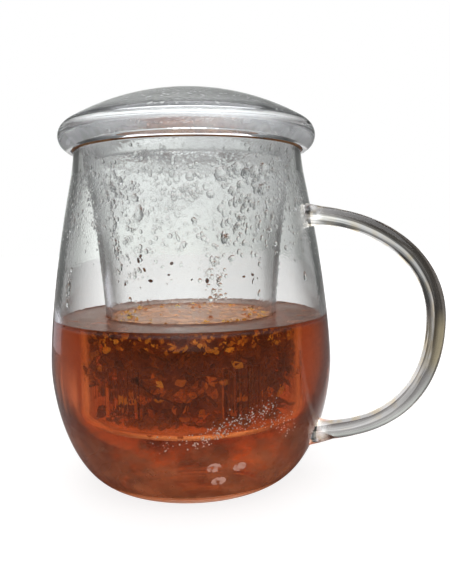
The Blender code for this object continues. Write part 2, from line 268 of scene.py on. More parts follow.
class Scatter:
    """Copies of a few modelled shapes, joined into one piece, with a shade value for each copy."""

    def __init__(self, name: str, shapes: Sequence[Item]) -> None:
        """Take the modelled shapes over.

        Args:
            name: Name of the joined piece.
            shapes: The shapes, which are used up.
        """
        self.name = name
        self.points: list[np.ndarray] = []
        self.faces: list[list[tuple[int, ...]]] = []
        self.placed: list[tuple[int, Matrix, float]] = []
        for shape in shapes:
            mesh = shape.data
            self.points.append(np.array([vertex.co[:] for vertex in mesh.vertices]))
            self.faces.append([tuple(polygon.vertices) for polygon in mesh.polygons])
            bpy.data.objects.remove(shape, do_unlink=True)

    def add(self, kind: int, place: Matrix, shade: float) -> None:
        """Place one copy of a shape."""
        self.placed.append((kind % len(self.points), place, shade))

    def join(self) -> Item:
        """Make one object of all copies.

        Returns:
            The smooth-shaded object.
        """
        points, faces, shades = [], [], []
        start = 0
        for kind, place, shade in self.placed:
            turn = np.array(place)
            moved = self.points[kind] @ turn[:3, :3].T + turn[:3, 3]
            points.append(moved)
            faces.extend(tuple(start + corner for corner in face) for face in self.faces[kind])
            shades.append(np.full(len(moved), shade))
            start += len(moved)
        mesh = bpy.data.meshes.new(self.name)
        mesh.from_pydata(np.concatenate(points), [], faces)
        values = mesh.attributes.new("shade", "FLOAT", "POINT")
        values.data.foreach_set("value", np.concatenate(shades).astype(np.float32))
        item = bpy.data.objects.new(self.name, mesh)
        bpy.context.scene.collection.objects.link(item)
        Workbench.smooth(item, 60.0)
        return item


class DropKind(Enum):
    """Shapes of the drops on the glass, in the order in which they are modelled."""

    DROPLET = 0
    DROP = 1
    RUN = 2


class ShapeShop:
    """Models the small shapes at unit size, base on the XY plane."""

    @staticmethod
    def drop(fine: bool, stretch: float = 1.0, flatten: float = 0.62) -> Item:
        """Model a dome of water, cut flat a little below its widest place.

        Args:
            fine: Whether it has fine facets.
            stretch: Its length; a long one is thicker at its lower end.
            flatten: Its height.

        Returns:
            The dome.
        """
        Workbench.pick()
        bpy.ops.mesh.primitive_ico_sphere_add(subdivisions=2 if fine else 1, radius=1.0)
        item = bpy.context.object
        Workbench.edit(item)
        bpy.ops.mesh.bisect(plane_co=(0.0, 0.0, -0.25), plane_no=(0.0, 0.0, 1.0), clear_inner=True,
                            use_fill=True)
        bpy.ops.mesh.select_all(action="SELECT")
        bpy.ops.transform.resize(value=(stretch, 1.0, flatten))
        bpy.ops.mesh.normals_make_consistent(inside=False)
        Workbench.close()
        if stretch > 1.0:
            for vertex in item.data.vertices:
                if vertex.co.x < 0.0:
                    vertex.co.z *= 1.25
                    vertex.co.y *= 1.15
                else:
                    vertex.co.y *= 1.0 - 0.35 * vertex.co.x / stretch
        return item

    @staticmethod
    def bead() -> Item:
        """Model a whole little ball, slightly flattened.

        Returns:
            The ball.
        """
        Workbench.pick()
        bpy.ops.mesh.primitive_ico_sphere_add(subdivisions=2, radius=1.0)
        item = bpy.context.object
        Workbench.edit(item)
        bpy.ops.transform.resize(value=(1.0, 1.0, 0.85))
        Workbench.close()
        return item

    @staticmethod
    def blade(width: float, curl: float, twist: float, thickness: float = 0.05) -> Item:
        """Leaf or petal one unit long: a grid that is tapered, curled, twisted and thickened.

        Args:
            width: Widest measure across.
            curl: Bend along its length in degrees.
            twist: Turn from end to end in degrees.
            thickness: Thickness of the blade.

        Returns:
            The closed blade.
        """
        Workbench.pick()
        bpy.ops.mesh.primitive_grid_add(x_subdivisions=6, y_subdivisions=2, size=1.0)
        item = bpy.context.object
        Workbench.edit(item)
        bpy.ops.transform.resize(value=(1.0, width, 1.0))
        Workbench.close()
        for vertex in item.data.vertices:
            share = vertex.co.x
            vertex.co.y *= 0.12 + 0.88 * math.cos(math.pi * share) ** 0.7 if abs(share) < 0.5 else 0.12
            vertex.co.z += 0.9 * vertex.co.y ** 2 / width
        Workbench.modify(item, "SIMPLE_DEFORM", deform_method="BEND", deform_axis="Y",
                         angle=math.radians(curl))
        if twist:
            Workbench.modify(item, "SIMPLE_DEFORM", deform_method="TWIST", deform_axis="X",
                             angle=math.radians(twist))
        Workbench.modify(item, "SOLIDIFY", thickness=thickness, offset=0.0)
        return item

    @staticmethod
    def stem(curl: float, width: float) -> Item:
        """Model a thin stem one unit long.

        Args:
            curl: Bend along its length in degrees.
            width: Radius at its thick end.

        Returns:
            The stem.
        """
        Workbench.pick()
        bpy.ops.mesh.primitive_cone_add(vertices=6, radius1=width, radius2=width * 0.6, depth=1.0,
                                        rotation=(0.0, math.pi / 2, 0.0))
        item = bpy.context.object
        Workbench.settle(item)
        Workbench.edit(item, select=False)
        Workbench.close()
        for edge in item.data.edges:
            ends = [item.data.vertices[corner].co.x for corner in edge.vertices]
            edge.select = abs(ends[0] - ends[1]) > 0.5
        Workbench.pick(item)
        bpy.ops.object.mode_set(mode="EDIT")
        bpy.ops.mesh.select_mode(type="EDGE")
        bpy.ops.mesh.subdivide(number_cuts=6)
        bpy.ops.mesh.select_mode(type="VERT")
        Workbench.close()
        Workbench.modify(item, "SIMPLE_DEFORM", deform_method="BEND", deform_axis="Z",
                         angle=math.radians(curl))
        return item

    @staticmethod
    def bud(seed: int) -> Item:
        """Model a lumpy bud, berry or crumb of root.

        Args:
            seed: Picks one of many lumpy forms.

        Returns:
            The bud.
        """
        Workbench.pick()
        bpy.ops.mesh.primitive_ico_sphere_add(subdivisions=2, radius=0.5)
        item = bpy.context.object
        Workbench.edit(item)
        bpy.ops.transform.resize(value=(1.25, 0.9, 0.7))
        bpy.ops.transform.vertex_random(offset=0.07, seed=seed)
        Workbench.close()
        return item


class NodeBench:
    """Lays out the shader nodes of a tree and joins them."""

    def __init__(self, tree: bpy.types.NodeTree) -> None:
        """Take the tree over."""
        self.tree = tree

    def node(self, kind: str, **settings: object) -> bpy.types.Node:
        """Add a node.

        Args:
            kind: Blender's name for the kind of node.
            settings: Properties of the node and their values.

        Returns:
            The node.
        """
        made = self.tree.nodes.new(kind)
        for key, value in settings.items():
            setattr(made, key, value)
        return made

    def link(self, source: Socket, target: Socket) -> None:
        """Join two sockets."""
        self.tree.links.new(source, target)

    def feed(self, target: Socket, source: object) -> None:
        """Give a socket its value.

        Args:
            target: The socket.
            source: A socket that is joined to it, or a fixed value.
        """
        if isinstance(source, Socket):
            self.link(source, target)
        else:
            target.default_value = source

    def attribute(self, name: str) -> Socket:
        """Return a value that is stored with the piece's vertices."""
        return self.node("ShaderNodeAttribute", attribute_name=name).outputs["Fac"]

    def coordinates(self, stretch: tuple[float, float, float] = (1.0, 1.0, 1.0)) -> Socket:
        """Lay out the object coordinates.

        Args:
            stretch: Factor along each axis.

        Returns:
            The coordinates.
        """
        place = self.node("ShaderNodeTexCoord")
        mapping = self.node("ShaderNodeMapping")
        mapping.inputs["Scale"].default_value = stretch
        self.link(place.outputs["Object"], mapping.inputs["Vector"])
        return mapping.outputs["Vector"]

    def noise(self, scale: float, detail: float = 3.0, roughness: float = 0.5,
              stretch: tuple[float, float, float] = (1.0, 1.0, 1.0)) -> Socket:
        """Lay out noise over the piece.

        Args:
            scale: Waves per metre.
            detail: How many finer waves lie over them.
            roughness: How strong the finer waves are.
            stretch: Factor along each axis.

        Returns:
            The noise, 0 to 1.
        """
        made = self.node("ShaderNodeTexNoise")
        made.inputs["Scale"].default_value = scale
        made.inputs["Detail"].default_value = detail
        made.inputs["Roughness"].default_value = roughness
        self.link(self.coordinates(stretch), made.inputs["Vector"])
        return made.outputs["Fac"]

    def cells(self, scale: float, randomness: float = 1.0) -> Socket:
        """Lay out the distance to the nearest of many scattered points, for droplets.

        Args:
            scale: Points per metre.
            randomness: How unevenly they are scattered, 0 to 1.

        Returns:
            The distance.
        """
        made = self.node("ShaderNodeTexVoronoi")
        made.inputs["Scale"].default_value = scale
        made.inputs["Randomness"].default_value = randomness
        self.link(self.coordinates(), made.inputs["Vector"])
        return made.outputs["Distance"]

    def towards(self, angle: float) -> Socket:
        """Lay out how far a point lies out from the axis to one side.

        Args:
            angle: Angle of the side in degrees about Z.

        Returns:
            The distance in metres.
        """
        turn = math.radians(angle)
        reach = self.node("ShaderNodeVectorMath", operation="DOT_PRODUCT")
        self.link(self.coordinates(), reach.inputs[0])
        reach.inputs[1].default_value = (math.cos(turn), math.sin(turn), 0.0)
        return reach.outputs["Value"]

    def band(self, stops: Sequence[tuple[float, float]]) -> Socket:
        """Lay out a value that follows the height.

        Args:
            stops: Heights in metres and the values there.

        Returns:
            The value.
        """
        place = self.node("ShaderNodeTexCoord")
        split = self.node("ShaderNodeSeparateXYZ")
        self.link(place.outputs["Object"], split.inputs["Vector"])
        low, high = stops[0][0], stops[-1][0]
        share = self.spread(split.outputs["Z"], low, high)
        return self.greys(share, [((height - low) / (high - low), value) for height, value in stops])

    def spread(self, source: Socket, low: float, high: float, to_low: float = 0.0,
               to_high: float = 1.0) -> Socket:
        """Stretch a value from one range to another.

        Args:
            source: The value.
            low: Start of the range it has.
            high: End of the range it has.
            to_low: Start of the new range.
            to_high: End of the new range.

        Returns:
            The stretched value.
        """
        made = self.node("ShaderNodeMapRange")
        made.inputs["From Min"].default_value = low
        made.inputs["From Max"].default_value = high
        made.inputs["To Min"].default_value = to_low
        made.inputs["To Max"].default_value = to_high
        self.link(source, made.inputs["Value"])
        return made.outputs["Result"]

    def ramp(self, source: Socket, stops: Sequence[tuple[float, Colour]]) -> Socket:
        """Lay out a colour that follows a value.

        Args:
            source: The value.
            stops: Values and the colours there.

        Returns:
            The colour.
        """
        made = self.node("ShaderNodeValToRGB")
        band = made.color_ramp
        while len(band.elements) < len(stops):
            band.elements.new(0.5)
        for element, (place, colour) in zip(band.elements, stops):
            element.position = place
            element.color = (*colour, 1.0)
        self.link(source, made.inputs["Fac"])
        return made.outputs["Color"]

    def greys(self, source: Socket, stops: Sequence[tuple[float, float]]) -> Socket:
        """Return a value that follows another one through its stops."""
        return self.ramp(source, [(place, (value,) * 3) for place, value in stops])

    def math(self, operation: str, *values: object) -> Socket:
        """Reckon with sockets and numbers.

        Args:
            operation: Blender's name for the operation.
            values: What it works on.

        Returns:
            The result.
        """
        made = self.node("ShaderNodeMath", operation=operation)
        for slot, value in zip(made.inputs, values):
            self.feed(slot, value)
        return made.outputs["Value"]

    def times(self, *values: object) -> Socket:
        """Return the product of sockets and numbers."""
        return reduce(lambda first, second: self.math("MULTIPLY", first, second), values)

    def plus(self, first: object, second: object) -> Socket:
        """Return the sum of two sockets or numbers."""
        return self.math("ADD", first, second)

    def blend(self, share: object, first: object, second: object, **settings: object) -> Socket:
        """Mix two values or colours.

        Args:
            share: How much of the second one there is.
            first: The first one, a socket or a fixed value.
            second: The second one.
            settings: Properties of the mixing node and their values.

        Returns:
            The mixture.
        """
        made = self.node("ShaderNodeMix", **settings)
        for name, value in (("Factor", share), ("A", first), ("B", second)):
            self.feed(made.inputs[name], value)
        return made.outputs["Result"]


class MaterialBench(NodeBench):
    """Lays out the nodes of one material round its Principled shader."""

    def __init__(self, name: str) -> None:
        """Start a material.

        Args:
            name: Name of the material.
        """
        self.material = bpy.data.materials.new(name)
        self.material.use_nodes = True
        super().__init__(self.material.node_tree)
        self.shader = self.tree.nodes["Principled BSDF"]
        self.output = self.tree.nodes["Material Output"]

    def set(self, **values: object) -> None:
        """Set sockets of the shader by name, with underscores for spaces."""
        for key, value in values.items():
            self.shader.inputs[key.replace("_", " ")].default_value = value

    def drive(self, socket: str, source: Socket) -> None:
        """Let a value or colour drive a socket of the shader."""
        self.link(source, self.shader.inputs[socket])

    def bump(self, source: Socket, strength: float, depth: float) -> None:
        """Emboss the surface.

        Args:
            source: The value that raises it.
            strength: Strength of the embossing, 0 to 1.
            depth: Its depth in metres.
        """
        made = self.node("ShaderNodeBump")
        made.inputs["Strength"].default_value = strength
        made.inputs["Distance"].default_value = depth
        self.link(source, made.inputs["Height"])
        self.link(made.outputs["Normal"], self.shader.inputs["Normal"])


@dataclass(frozen=True)
class GlassFinish:
    """Clear blown glass, faintly wavy, with a little dust or dried water on it, and where it is given one a
    painted reflection: a soft band that shines by height.
    """

    name: str = "clear_glass"
    tint: Colour = (0.985, 0.99, 0.988)
    ior: float = 1.45
    wave: float = 0.15
    smear: float = 0.03
    glint: float = 1.0
    painted_sheen: Stops = ()
    painted_sheen_reach: tuple[float, float] = (0.024, 0.036)
    beads: Stops = ()

    def build(self) -> Material:
        """Lay out the glass, with a painted reflection by height where it is given one.

        Returns:
            The material.
        """
        bench = MaterialBench(self.name)
        bench.set(Base_Color=(*self.tint, 1.0), IOR=self.ior, Transmission_Weight=1.0)
        bench.set(Specular_Tint=(self.glint, self.glint, self.glint, 1.0))
        # Painted reflection: a soft bluish-white band of emitted light by height, strongest far out towards
        # and away from the camera's side, standing in for a reflection of the lights.
        if self.painted_sheen:
            cloud = bench.spread(bench.noise(22.0, 2.0, 0.5, (1.0, 1.0, 2.5)), 0.35, 0.65, 0.6, 1.1)
            front = bench.spread(bench.math("ABSOLUTE", bench.towards(CAMERA_SIDE)), *self.painted_sheen_reach)
            bench.set(Emission_Color=(0.9, 0.95, 1.0, 1.0))
            bench.drive("Emission Strength", bench.times(cloud, front, bench.band(self.painted_sheen)))
        bench.drive("Roughness", bench.spread(bench.noise(90.0, 5.0), 0.5, 0.8, 0.0, self.smear))
        waves = bench.noise(35.0, 1.0)
        if self.beads:
            beads = bench.spread(bench.cells(620.0), 0.0, 0.45, 0.6, 0.0)
            patches = bench.spread(bench.noise(60.0), 0.36, 0.56)
            waves = bench.plus(waves, bench.times(beads, patches, bench.band(self.beads)))
        bench.bump(waves, self.wave, 0.4 * MM)
        return bench.material


@dataclass(frozen=True)
class RodFinish:
    """Thick drawn glass of the handle, with long streaks along it: painted shade darkens it in bands, most
    towards its outer side, painted pale and olive patches lie along it, and painted reflections and glints
    shine from it.

    Args:
        name: Name of the material.
        ior: How strongly it bends light.
        painted_shade_across: Colours of the painted shade, from the rod's inner side to its outer side.
        painted_tints: How much there is along the rod of a painted pale or olive colour, and which.
        painted_reflections: How bright the painted reflections are from the inner side to the outer one.
        ends: How bright the painted glints are along the rod, near its joints.
    """

    name: str = "handle_glass"
    ior: float = 1.45
    painted_shade_across: tuple[tuple[float, Colour], ...] = (
        (0.0, (0.97, 0.97, 0.97)), (0.14, (0.9, 0.9, 0.9)), (0.19, (0.2, 0.195, 0.19)),
        (0.25, (0.9, 0.9, 0.9)), (0.44, (0.95, 0.95, 0.95)), (0.5, (0.25, 0.24, 0.23)),
        (0.57, (0.075, 0.068, 0.06)), (0.9, (0.045, 0.04, 0.035)), (1.0, (0.3, 0.28, 0.26)),
    )
    painted_tints: tuple[tuple[Stops, Colour], ...] = (
        (((0.0, 0.4), (0.1, 0.15), (0.2, 0.0), (0.5, 0.0), (0.66, 0.4), (0.76, 0.6), (1.0, 0.6)),
         (0.85, 0.85, 0.84)),
        (((0.46, 0.0), (0.51, 0.8), (0.59, 0.8), (0.63, 0.0)), (0.36, 0.31, 0.2)),
    )
    painted_reflections: Stops = ((0.0, 0.42), (0.11, 0.4), (0.15, 0.0), (0.3, 0.0), (0.37, 0.2), (0.43, 0.16),
                    (0.48, 0.0))
    ends: Stops = ((0.0, 0.5), (0.035, 0.42), (0.07, 0.0), (0.93, 0.0), (0.965, 0.42), (1.0, 0.5))

    def build(self) -> Material:
        """Lay out the glass from the attributes that place it across and along the rod.

        Returns:
            The material.
        """
        bench = MaterialBench(self.name)
        bench.set(IOR=self.ior, Transmission_Weight=1.0)
        across, along = bench.attribute("across"), bench.attribute("along")
        place = bench.node("ShaderNodeCombineXYZ")
        bench.link(across, place.inputs["X"])
        bench.link(bench.times(along, 1.4), place.inputs["Y"])
        streaks = bench.node("ShaderNodeTexNoise")
        streaks.inputs["Scale"].default_value = 2.6
        streaks.inputs["Detail"].default_value = 4.0
        bench.link(place.outputs["Vector"], streaks.inputs["Vector"])
        wander = bench.spread(streaks.outputs["Fac"], 0.3, 0.7, -0.16, 0.16)
        # Painted shade: the colour darkens across the rod in bands, most on its outer side, and painted pale
        # and olive patches are mixed in along it.
        side = bench.plus(bench.spread(across, -1.0, 1.0), wander)
        colour = bench.ramp(side, self.painted_shade_across)
        for stops, tint in self.painted_tints:
            colour = bench.blend(bench.greys(along, stops), colour, (*tint, 1.0), data_type="RGBA")
        bench.drive("Base Color", colour)
        # Painted light: warm mottled glints near the joints and reflections across the rod are given off by
        # the glass itself.
        painted_glint_mottle = bench.spread(bench.noise(420.0, 2.0), 0.4, 0.62, 0.1, 1.0)
        warmth = bench.ramp(bench.noise(300.0, 1.0), [(0.35, (1.0, 0.85, 0.6)), (0.55, (1.0, 1.0, 1.0))])
        bench.drive("Emission Color", warmth)
        painted_glow = bench.plus(bench.times(bench.greys(along, self.ends), painted_glint_mottle), bench.greys(side, self.painted_reflections))
        bench.drive("Emission Strength", painted_glow)
        bench.drive("Roughness", bench.spread(bench.noise(120.0), 0.45, 0.8, 0.0, 0.04))
        bench.bump(streaks.outputs["Fac"], 0.25, 0.4 * MM)
        return bench.material


@dataclass(frozen=True)
class MistFinish:
    """Glass that is clouded by steam: fine mist in patches, thicker towards the rim, that also faintly
    shines as painted light.
    """

    name: str = "misted_glass"
    tint: Colour = (0.985, 0.99, 0.988)
    ior: float = 1.45
    stops: Stops = ((0.0515, 0.25), (0.060, 0.12), (0.075, 0.2), (0.092, 0.8), (0.104, 1.0))
    haze: float = 0.3
    blur: float = 0.16
    grain: float = 1100.0
    painted_glow: float = 0.09

    def build(self) -> Material:
        """Lay out the material's nodes.

        Returns:
            The material.
        """
        bench = MaterialBench(self.name)
        bench.set(Base_Color=(*self.tint, 1.0), IOR=self.ior, Metallic=0.0)
        patches = bench.spread(bench.noise(70.0, 4.0, 0.6, (1.0, 1.0, 0.7)), 0.38, 0.62, 0.1, 1.0)
        mist = bench.times(patches, bench.band(self.stops))
        bench.drive("Transmission Weight", bench.spread(mist, 0.0, 1.0, 1.0, 1.0 - self.haze))
        bench.drive("Roughness", bench.spread(mist, 0.0, 1.0, 0.01, self.blur))
        # Painted light: the mist gives off a faint light where it is thickest.
        bench.set(Emission_Color=(0.95, 0.98, 1.0, 1.0))
        bench.drive("Emission Strength", bench.spread(mist, 0.0, 1.0, 0.0, self.painted_glow))
        grains = bench.spread(bench.cells(self.grain), 0.0, 0.5, 1.0, 0.0)
        bench.bump(bench.times(grains, mist), 0.5, 0.12 * MM)
        return bench.material


@dataclass(frozen=True)
class WaterFinish:
    """Clear water of the drops."""

    name: str = "water_drops"
    tint: Colour = (0.98, 0.985, 0.98)

    def build(self) -> Material:
        """Lay out the material's nodes.

        Returns:
            The material.
        """
        bench = MaterialBench(self.name)
        bench.set(Base_Color=(*self.tint, 1.0), IOR=WATER_IOR, Transmission_Weight=1.0)
        bench.drive("Roughness", bench.spread(bench.noise(300.0, 2.0), 0.4, 0.8, 0.0, 0.03))
        return bench.material


@dataclass(frozen=True)
class TeaFinish:
    """Red-brown tea that darkens with depth, and that gives off painted light: faint by height, with orange
    streaks that stand in for a caustic.
    """

    name: str = "tea_liquid"
    density: float = 84.0
    colour: Colour = (0.78, 0.41, 0.02)
    level: float = 0.051
    surface: Colour = (0.62, 0.22, 0.11)
    mirror: Colour = (1.0, 0.7, 0.5)
    scum: float = 0.5
    glint: float = 0.03
    # Painted light: heights and strengths of a faint mottled light that the tea gives off, stronger low
    # down, in the colour below.
    painted_glow: Stops = (
        (0.0, 0.06), (0.006, 0.1), (0.014, 0.105), (0.021, 0.06), (0.026, 0.026), (0.04, 0.018),
        (0.0495, 0.014), (0.0505, 0.0),
    )
    painted_glow_colour: Colour = (1.0, 0.31, 0.12)
    # Painted caustic: side, reach and heights of orange streaks of light that the tea gives off.
    painted_caustic_side: float = -119.0
    painted_caustic_reach: tuple[float, float] = (0.0408, 0.0424)
    painted_caustic_heights: Stops = ((0.021, 0.0), (0.026, 0.3), (0.033, 0.22), (0.041, 0.0))

    def build(self) -> Material:
        """Lay out the tea, whose open surface alone mirrors and carries a little scum, and whose body gives
        off painted light.

        Returns:
            The material.
        """
        bench = MaterialBench(self.name)
        bench.set(IOR=WATER_IOR, Emission_Color=(*self.painted_glow_colour, 1.0))
        low, high = self.level - 0.9 * MM, self.level - 0.2 * MM
        top = bench.band(((0.0, 0.0), (low, 0.0), (high, 1.0), (self.level + 2 * MM, 1.0)))
        bench.drive("Specular Tint", bench.ramp(top, [(0.0, (self.glint,) * 3), (1.0, self.mirror)]))
        bench.drive("Base Color", bench.ramp(top, [(0.0, (1.0, 0.99, 0.97)), (1.0, self.surface)]))
        patches = bench.spread(bench.noise(90.0, 5.0, 0.6), 0.35, 0.65, 0.3, 1.0)
        clear = bench.spread(bench.times(top, patches), 0.0, 1.0, 1.0, 1.0 - self.scum)
        bench.drive("Transmission Weight", clear)
        bench.drive("Roughness", bench.spread(bench.noise(120.0), 0.45, 0.8, 0.0, 0.02))
        bench.bump(bench.noise(60.0, 2.0), 0.06, 0.3 * MM)
        # Painted light: the tea gives off a mottled orange light by height, plus streaks that stand in for a
        # caustic.
        painted_glow_mottle = bench.spread(bench.noise(140.0, 4.0, 0.6), 0.35, 0.65, 0.6, 1.35)
        near = bench.spread(bench.towards(self.painted_caustic_side), *self.painted_caustic_reach)
        stripes = bench.spread(bench.noise(300.0, 2.0, 0.5, (1.0, 1.0, 0.1)), 0.42, 0.6, 0.1, 1.0)
        streaks = bench.times(near, stripes, bench.band(self.painted_caustic_heights))
        bench.drive("Emission Strength", bench.plus(bench.times(painted_glow_mottle, bench.band(self.painted_glow)), streaks))
        body = bench.node("ShaderNodeVolumeAbsorption")
        body.inputs["Color"].default_value = (*self.colour, 1.0)
        body.inputs["Density"].default_value = self.density
        bench.link(body.outputs["Volume"], bench.output.inputs["Volume"])
        return bench.material


@dataclass(frozen=True)
class LeafFinish:
    """Wet leaves, petals or stems whose colour changes from piece to piece and along each, and which may
    give off a faint painted light in that colour.
    """

    name: str
    stops: tuple[tuple[float, Colour], ...]
    roughness: float = 0.35
    grain: float = 900.0
    by_piece: bool = True
    painted_glow: float = 0.0
    clear: float = 0.0

    def build(self) -> Material:
        """Lay out the material's nodes.

        Returns:
            The material.
        """
        bench = MaterialBench(self.name)
        bench.set(IOR=1.4, Specular_IOR_Level=0.5)
        mottle = bench.noise(self.grain, 4.0, 0.65)
        if self.by_piece:
            mottle = bench.plus(bench.times(bench.attribute("shade"), 0.55),
                                bench.spread(mottle, 0.3, 0.7, 0.0, 0.45))
        colour = bench.ramp(mottle, self.stops)
        bench.drive("Base Color", colour)
        # Painted light: the pieces give off a faint light in their own colour, as if lit inside the glass.
        bench.drive("Emission Color", colour)
        bench.set(Emission_Strength=self.painted_glow, Subsurface_Weight=self.clear, Subsurface_Scale=0.8 * MM,
                  Subsurface_Radius=(1.0, 0.5, 0.15))
        bench.drive("Roughness", bench.spread(bench.noise(self.grain * 0.6, 2.0), 0.3, 0.7,
                                              self.roughness * 0.6, self.roughness * 1.3))
        bench.bump(bench.noise(self.grain * 1.6, 3.0), 0.4, 0.15 * MM)
        return bench.material


@dataclass(frozen=True)
class FilmFinish:
    """Thin brown film of dried and wet tea, or of its dust, that thins out in patches, and that may give off
    a faint painted light.
    """

    name: str = "tea_film"
    light: Colour = (0.42, 0.26, 0.16)
    dark: Colour = (0.16, 0.07, 0.035)
    patch: float = 120.0
    stretch: tuple[float, float, float] = (1.0, 1.0, 1.0)
    thin: tuple[float, float] = (0.42, 0.62)
    most: float = 0.85
    fade: Stops = ((0.0, 1.0), (0.13, 1.0))
    painted_glow: float = 0.0

    def build(self) -> Material:
        """Lay out the material's nodes.

        Returns:
            The material.
        """
        bench = MaterialBench(self.name)
        bench.set(IOR=1.36, Roughness=0.25, Specular_IOR_Level=0.1)
        tone = bench.noise(self.patch * 2.0, 4.0, 0.6, self.stretch)
        bench.drive("Base Color", bench.ramp(tone, [(0.3, self.dark), (0.7, self.light)]))
        # Painted light: a faint orange light that the film gives off.
        bench.set(Emission_Color=(1.0, 0.42, 0.14, 1.0), Emission_Strength=self.painted_glow)
        patches = bench.spread(bench.noise(self.patch, 4.0, 0.65, self.stretch), *self.thin, 0.0, self.most)
        bench.drive("Alpha", bench.times(patches, bench.band(self.fade)))
        return bench.material


@dataclass(frozen=True)
class BubbleFinish:
    """Little air bubbles that cling to the glass and shine, partly with a faint painted light of their own.
    """

    name: str = "air_bubbles"

    def build(self) -> Material:
        """Lay out the material's nodes.

        Returns:
            The material.
        """
        bench = MaterialBench(self.name)
        # Painted light: the bubbles give off a faint warm light.
        bench.set(IOR=WATER_IOR, Transmission_Weight=0.1, Specular_IOR_Level=0.8, Emission_Strength=0.15)
        bench.set(Emission_Color=(1.0, 0.9, 0.85, 1.0))
        pearl = bench.ramp(bench.noise(400.0, 2.0), [(0.3, (0.85, 0.78, 0.72)), (0.7, (1.0, 0.97, 0.94))])
        bench.drive("Base Color", pearl)
        bench.drive("Roughness", bench.spread(bench.noise(800.0, 1.0), 0.3, 0.7, 0.02, 0.15))
        return bench.material


class Coat(Enum):
    """Finishes of a piece of glass, in the order of its material slots."""

    CLEAR = 0
    MISTED = 1
    WETTED = 2
    ROD = 3


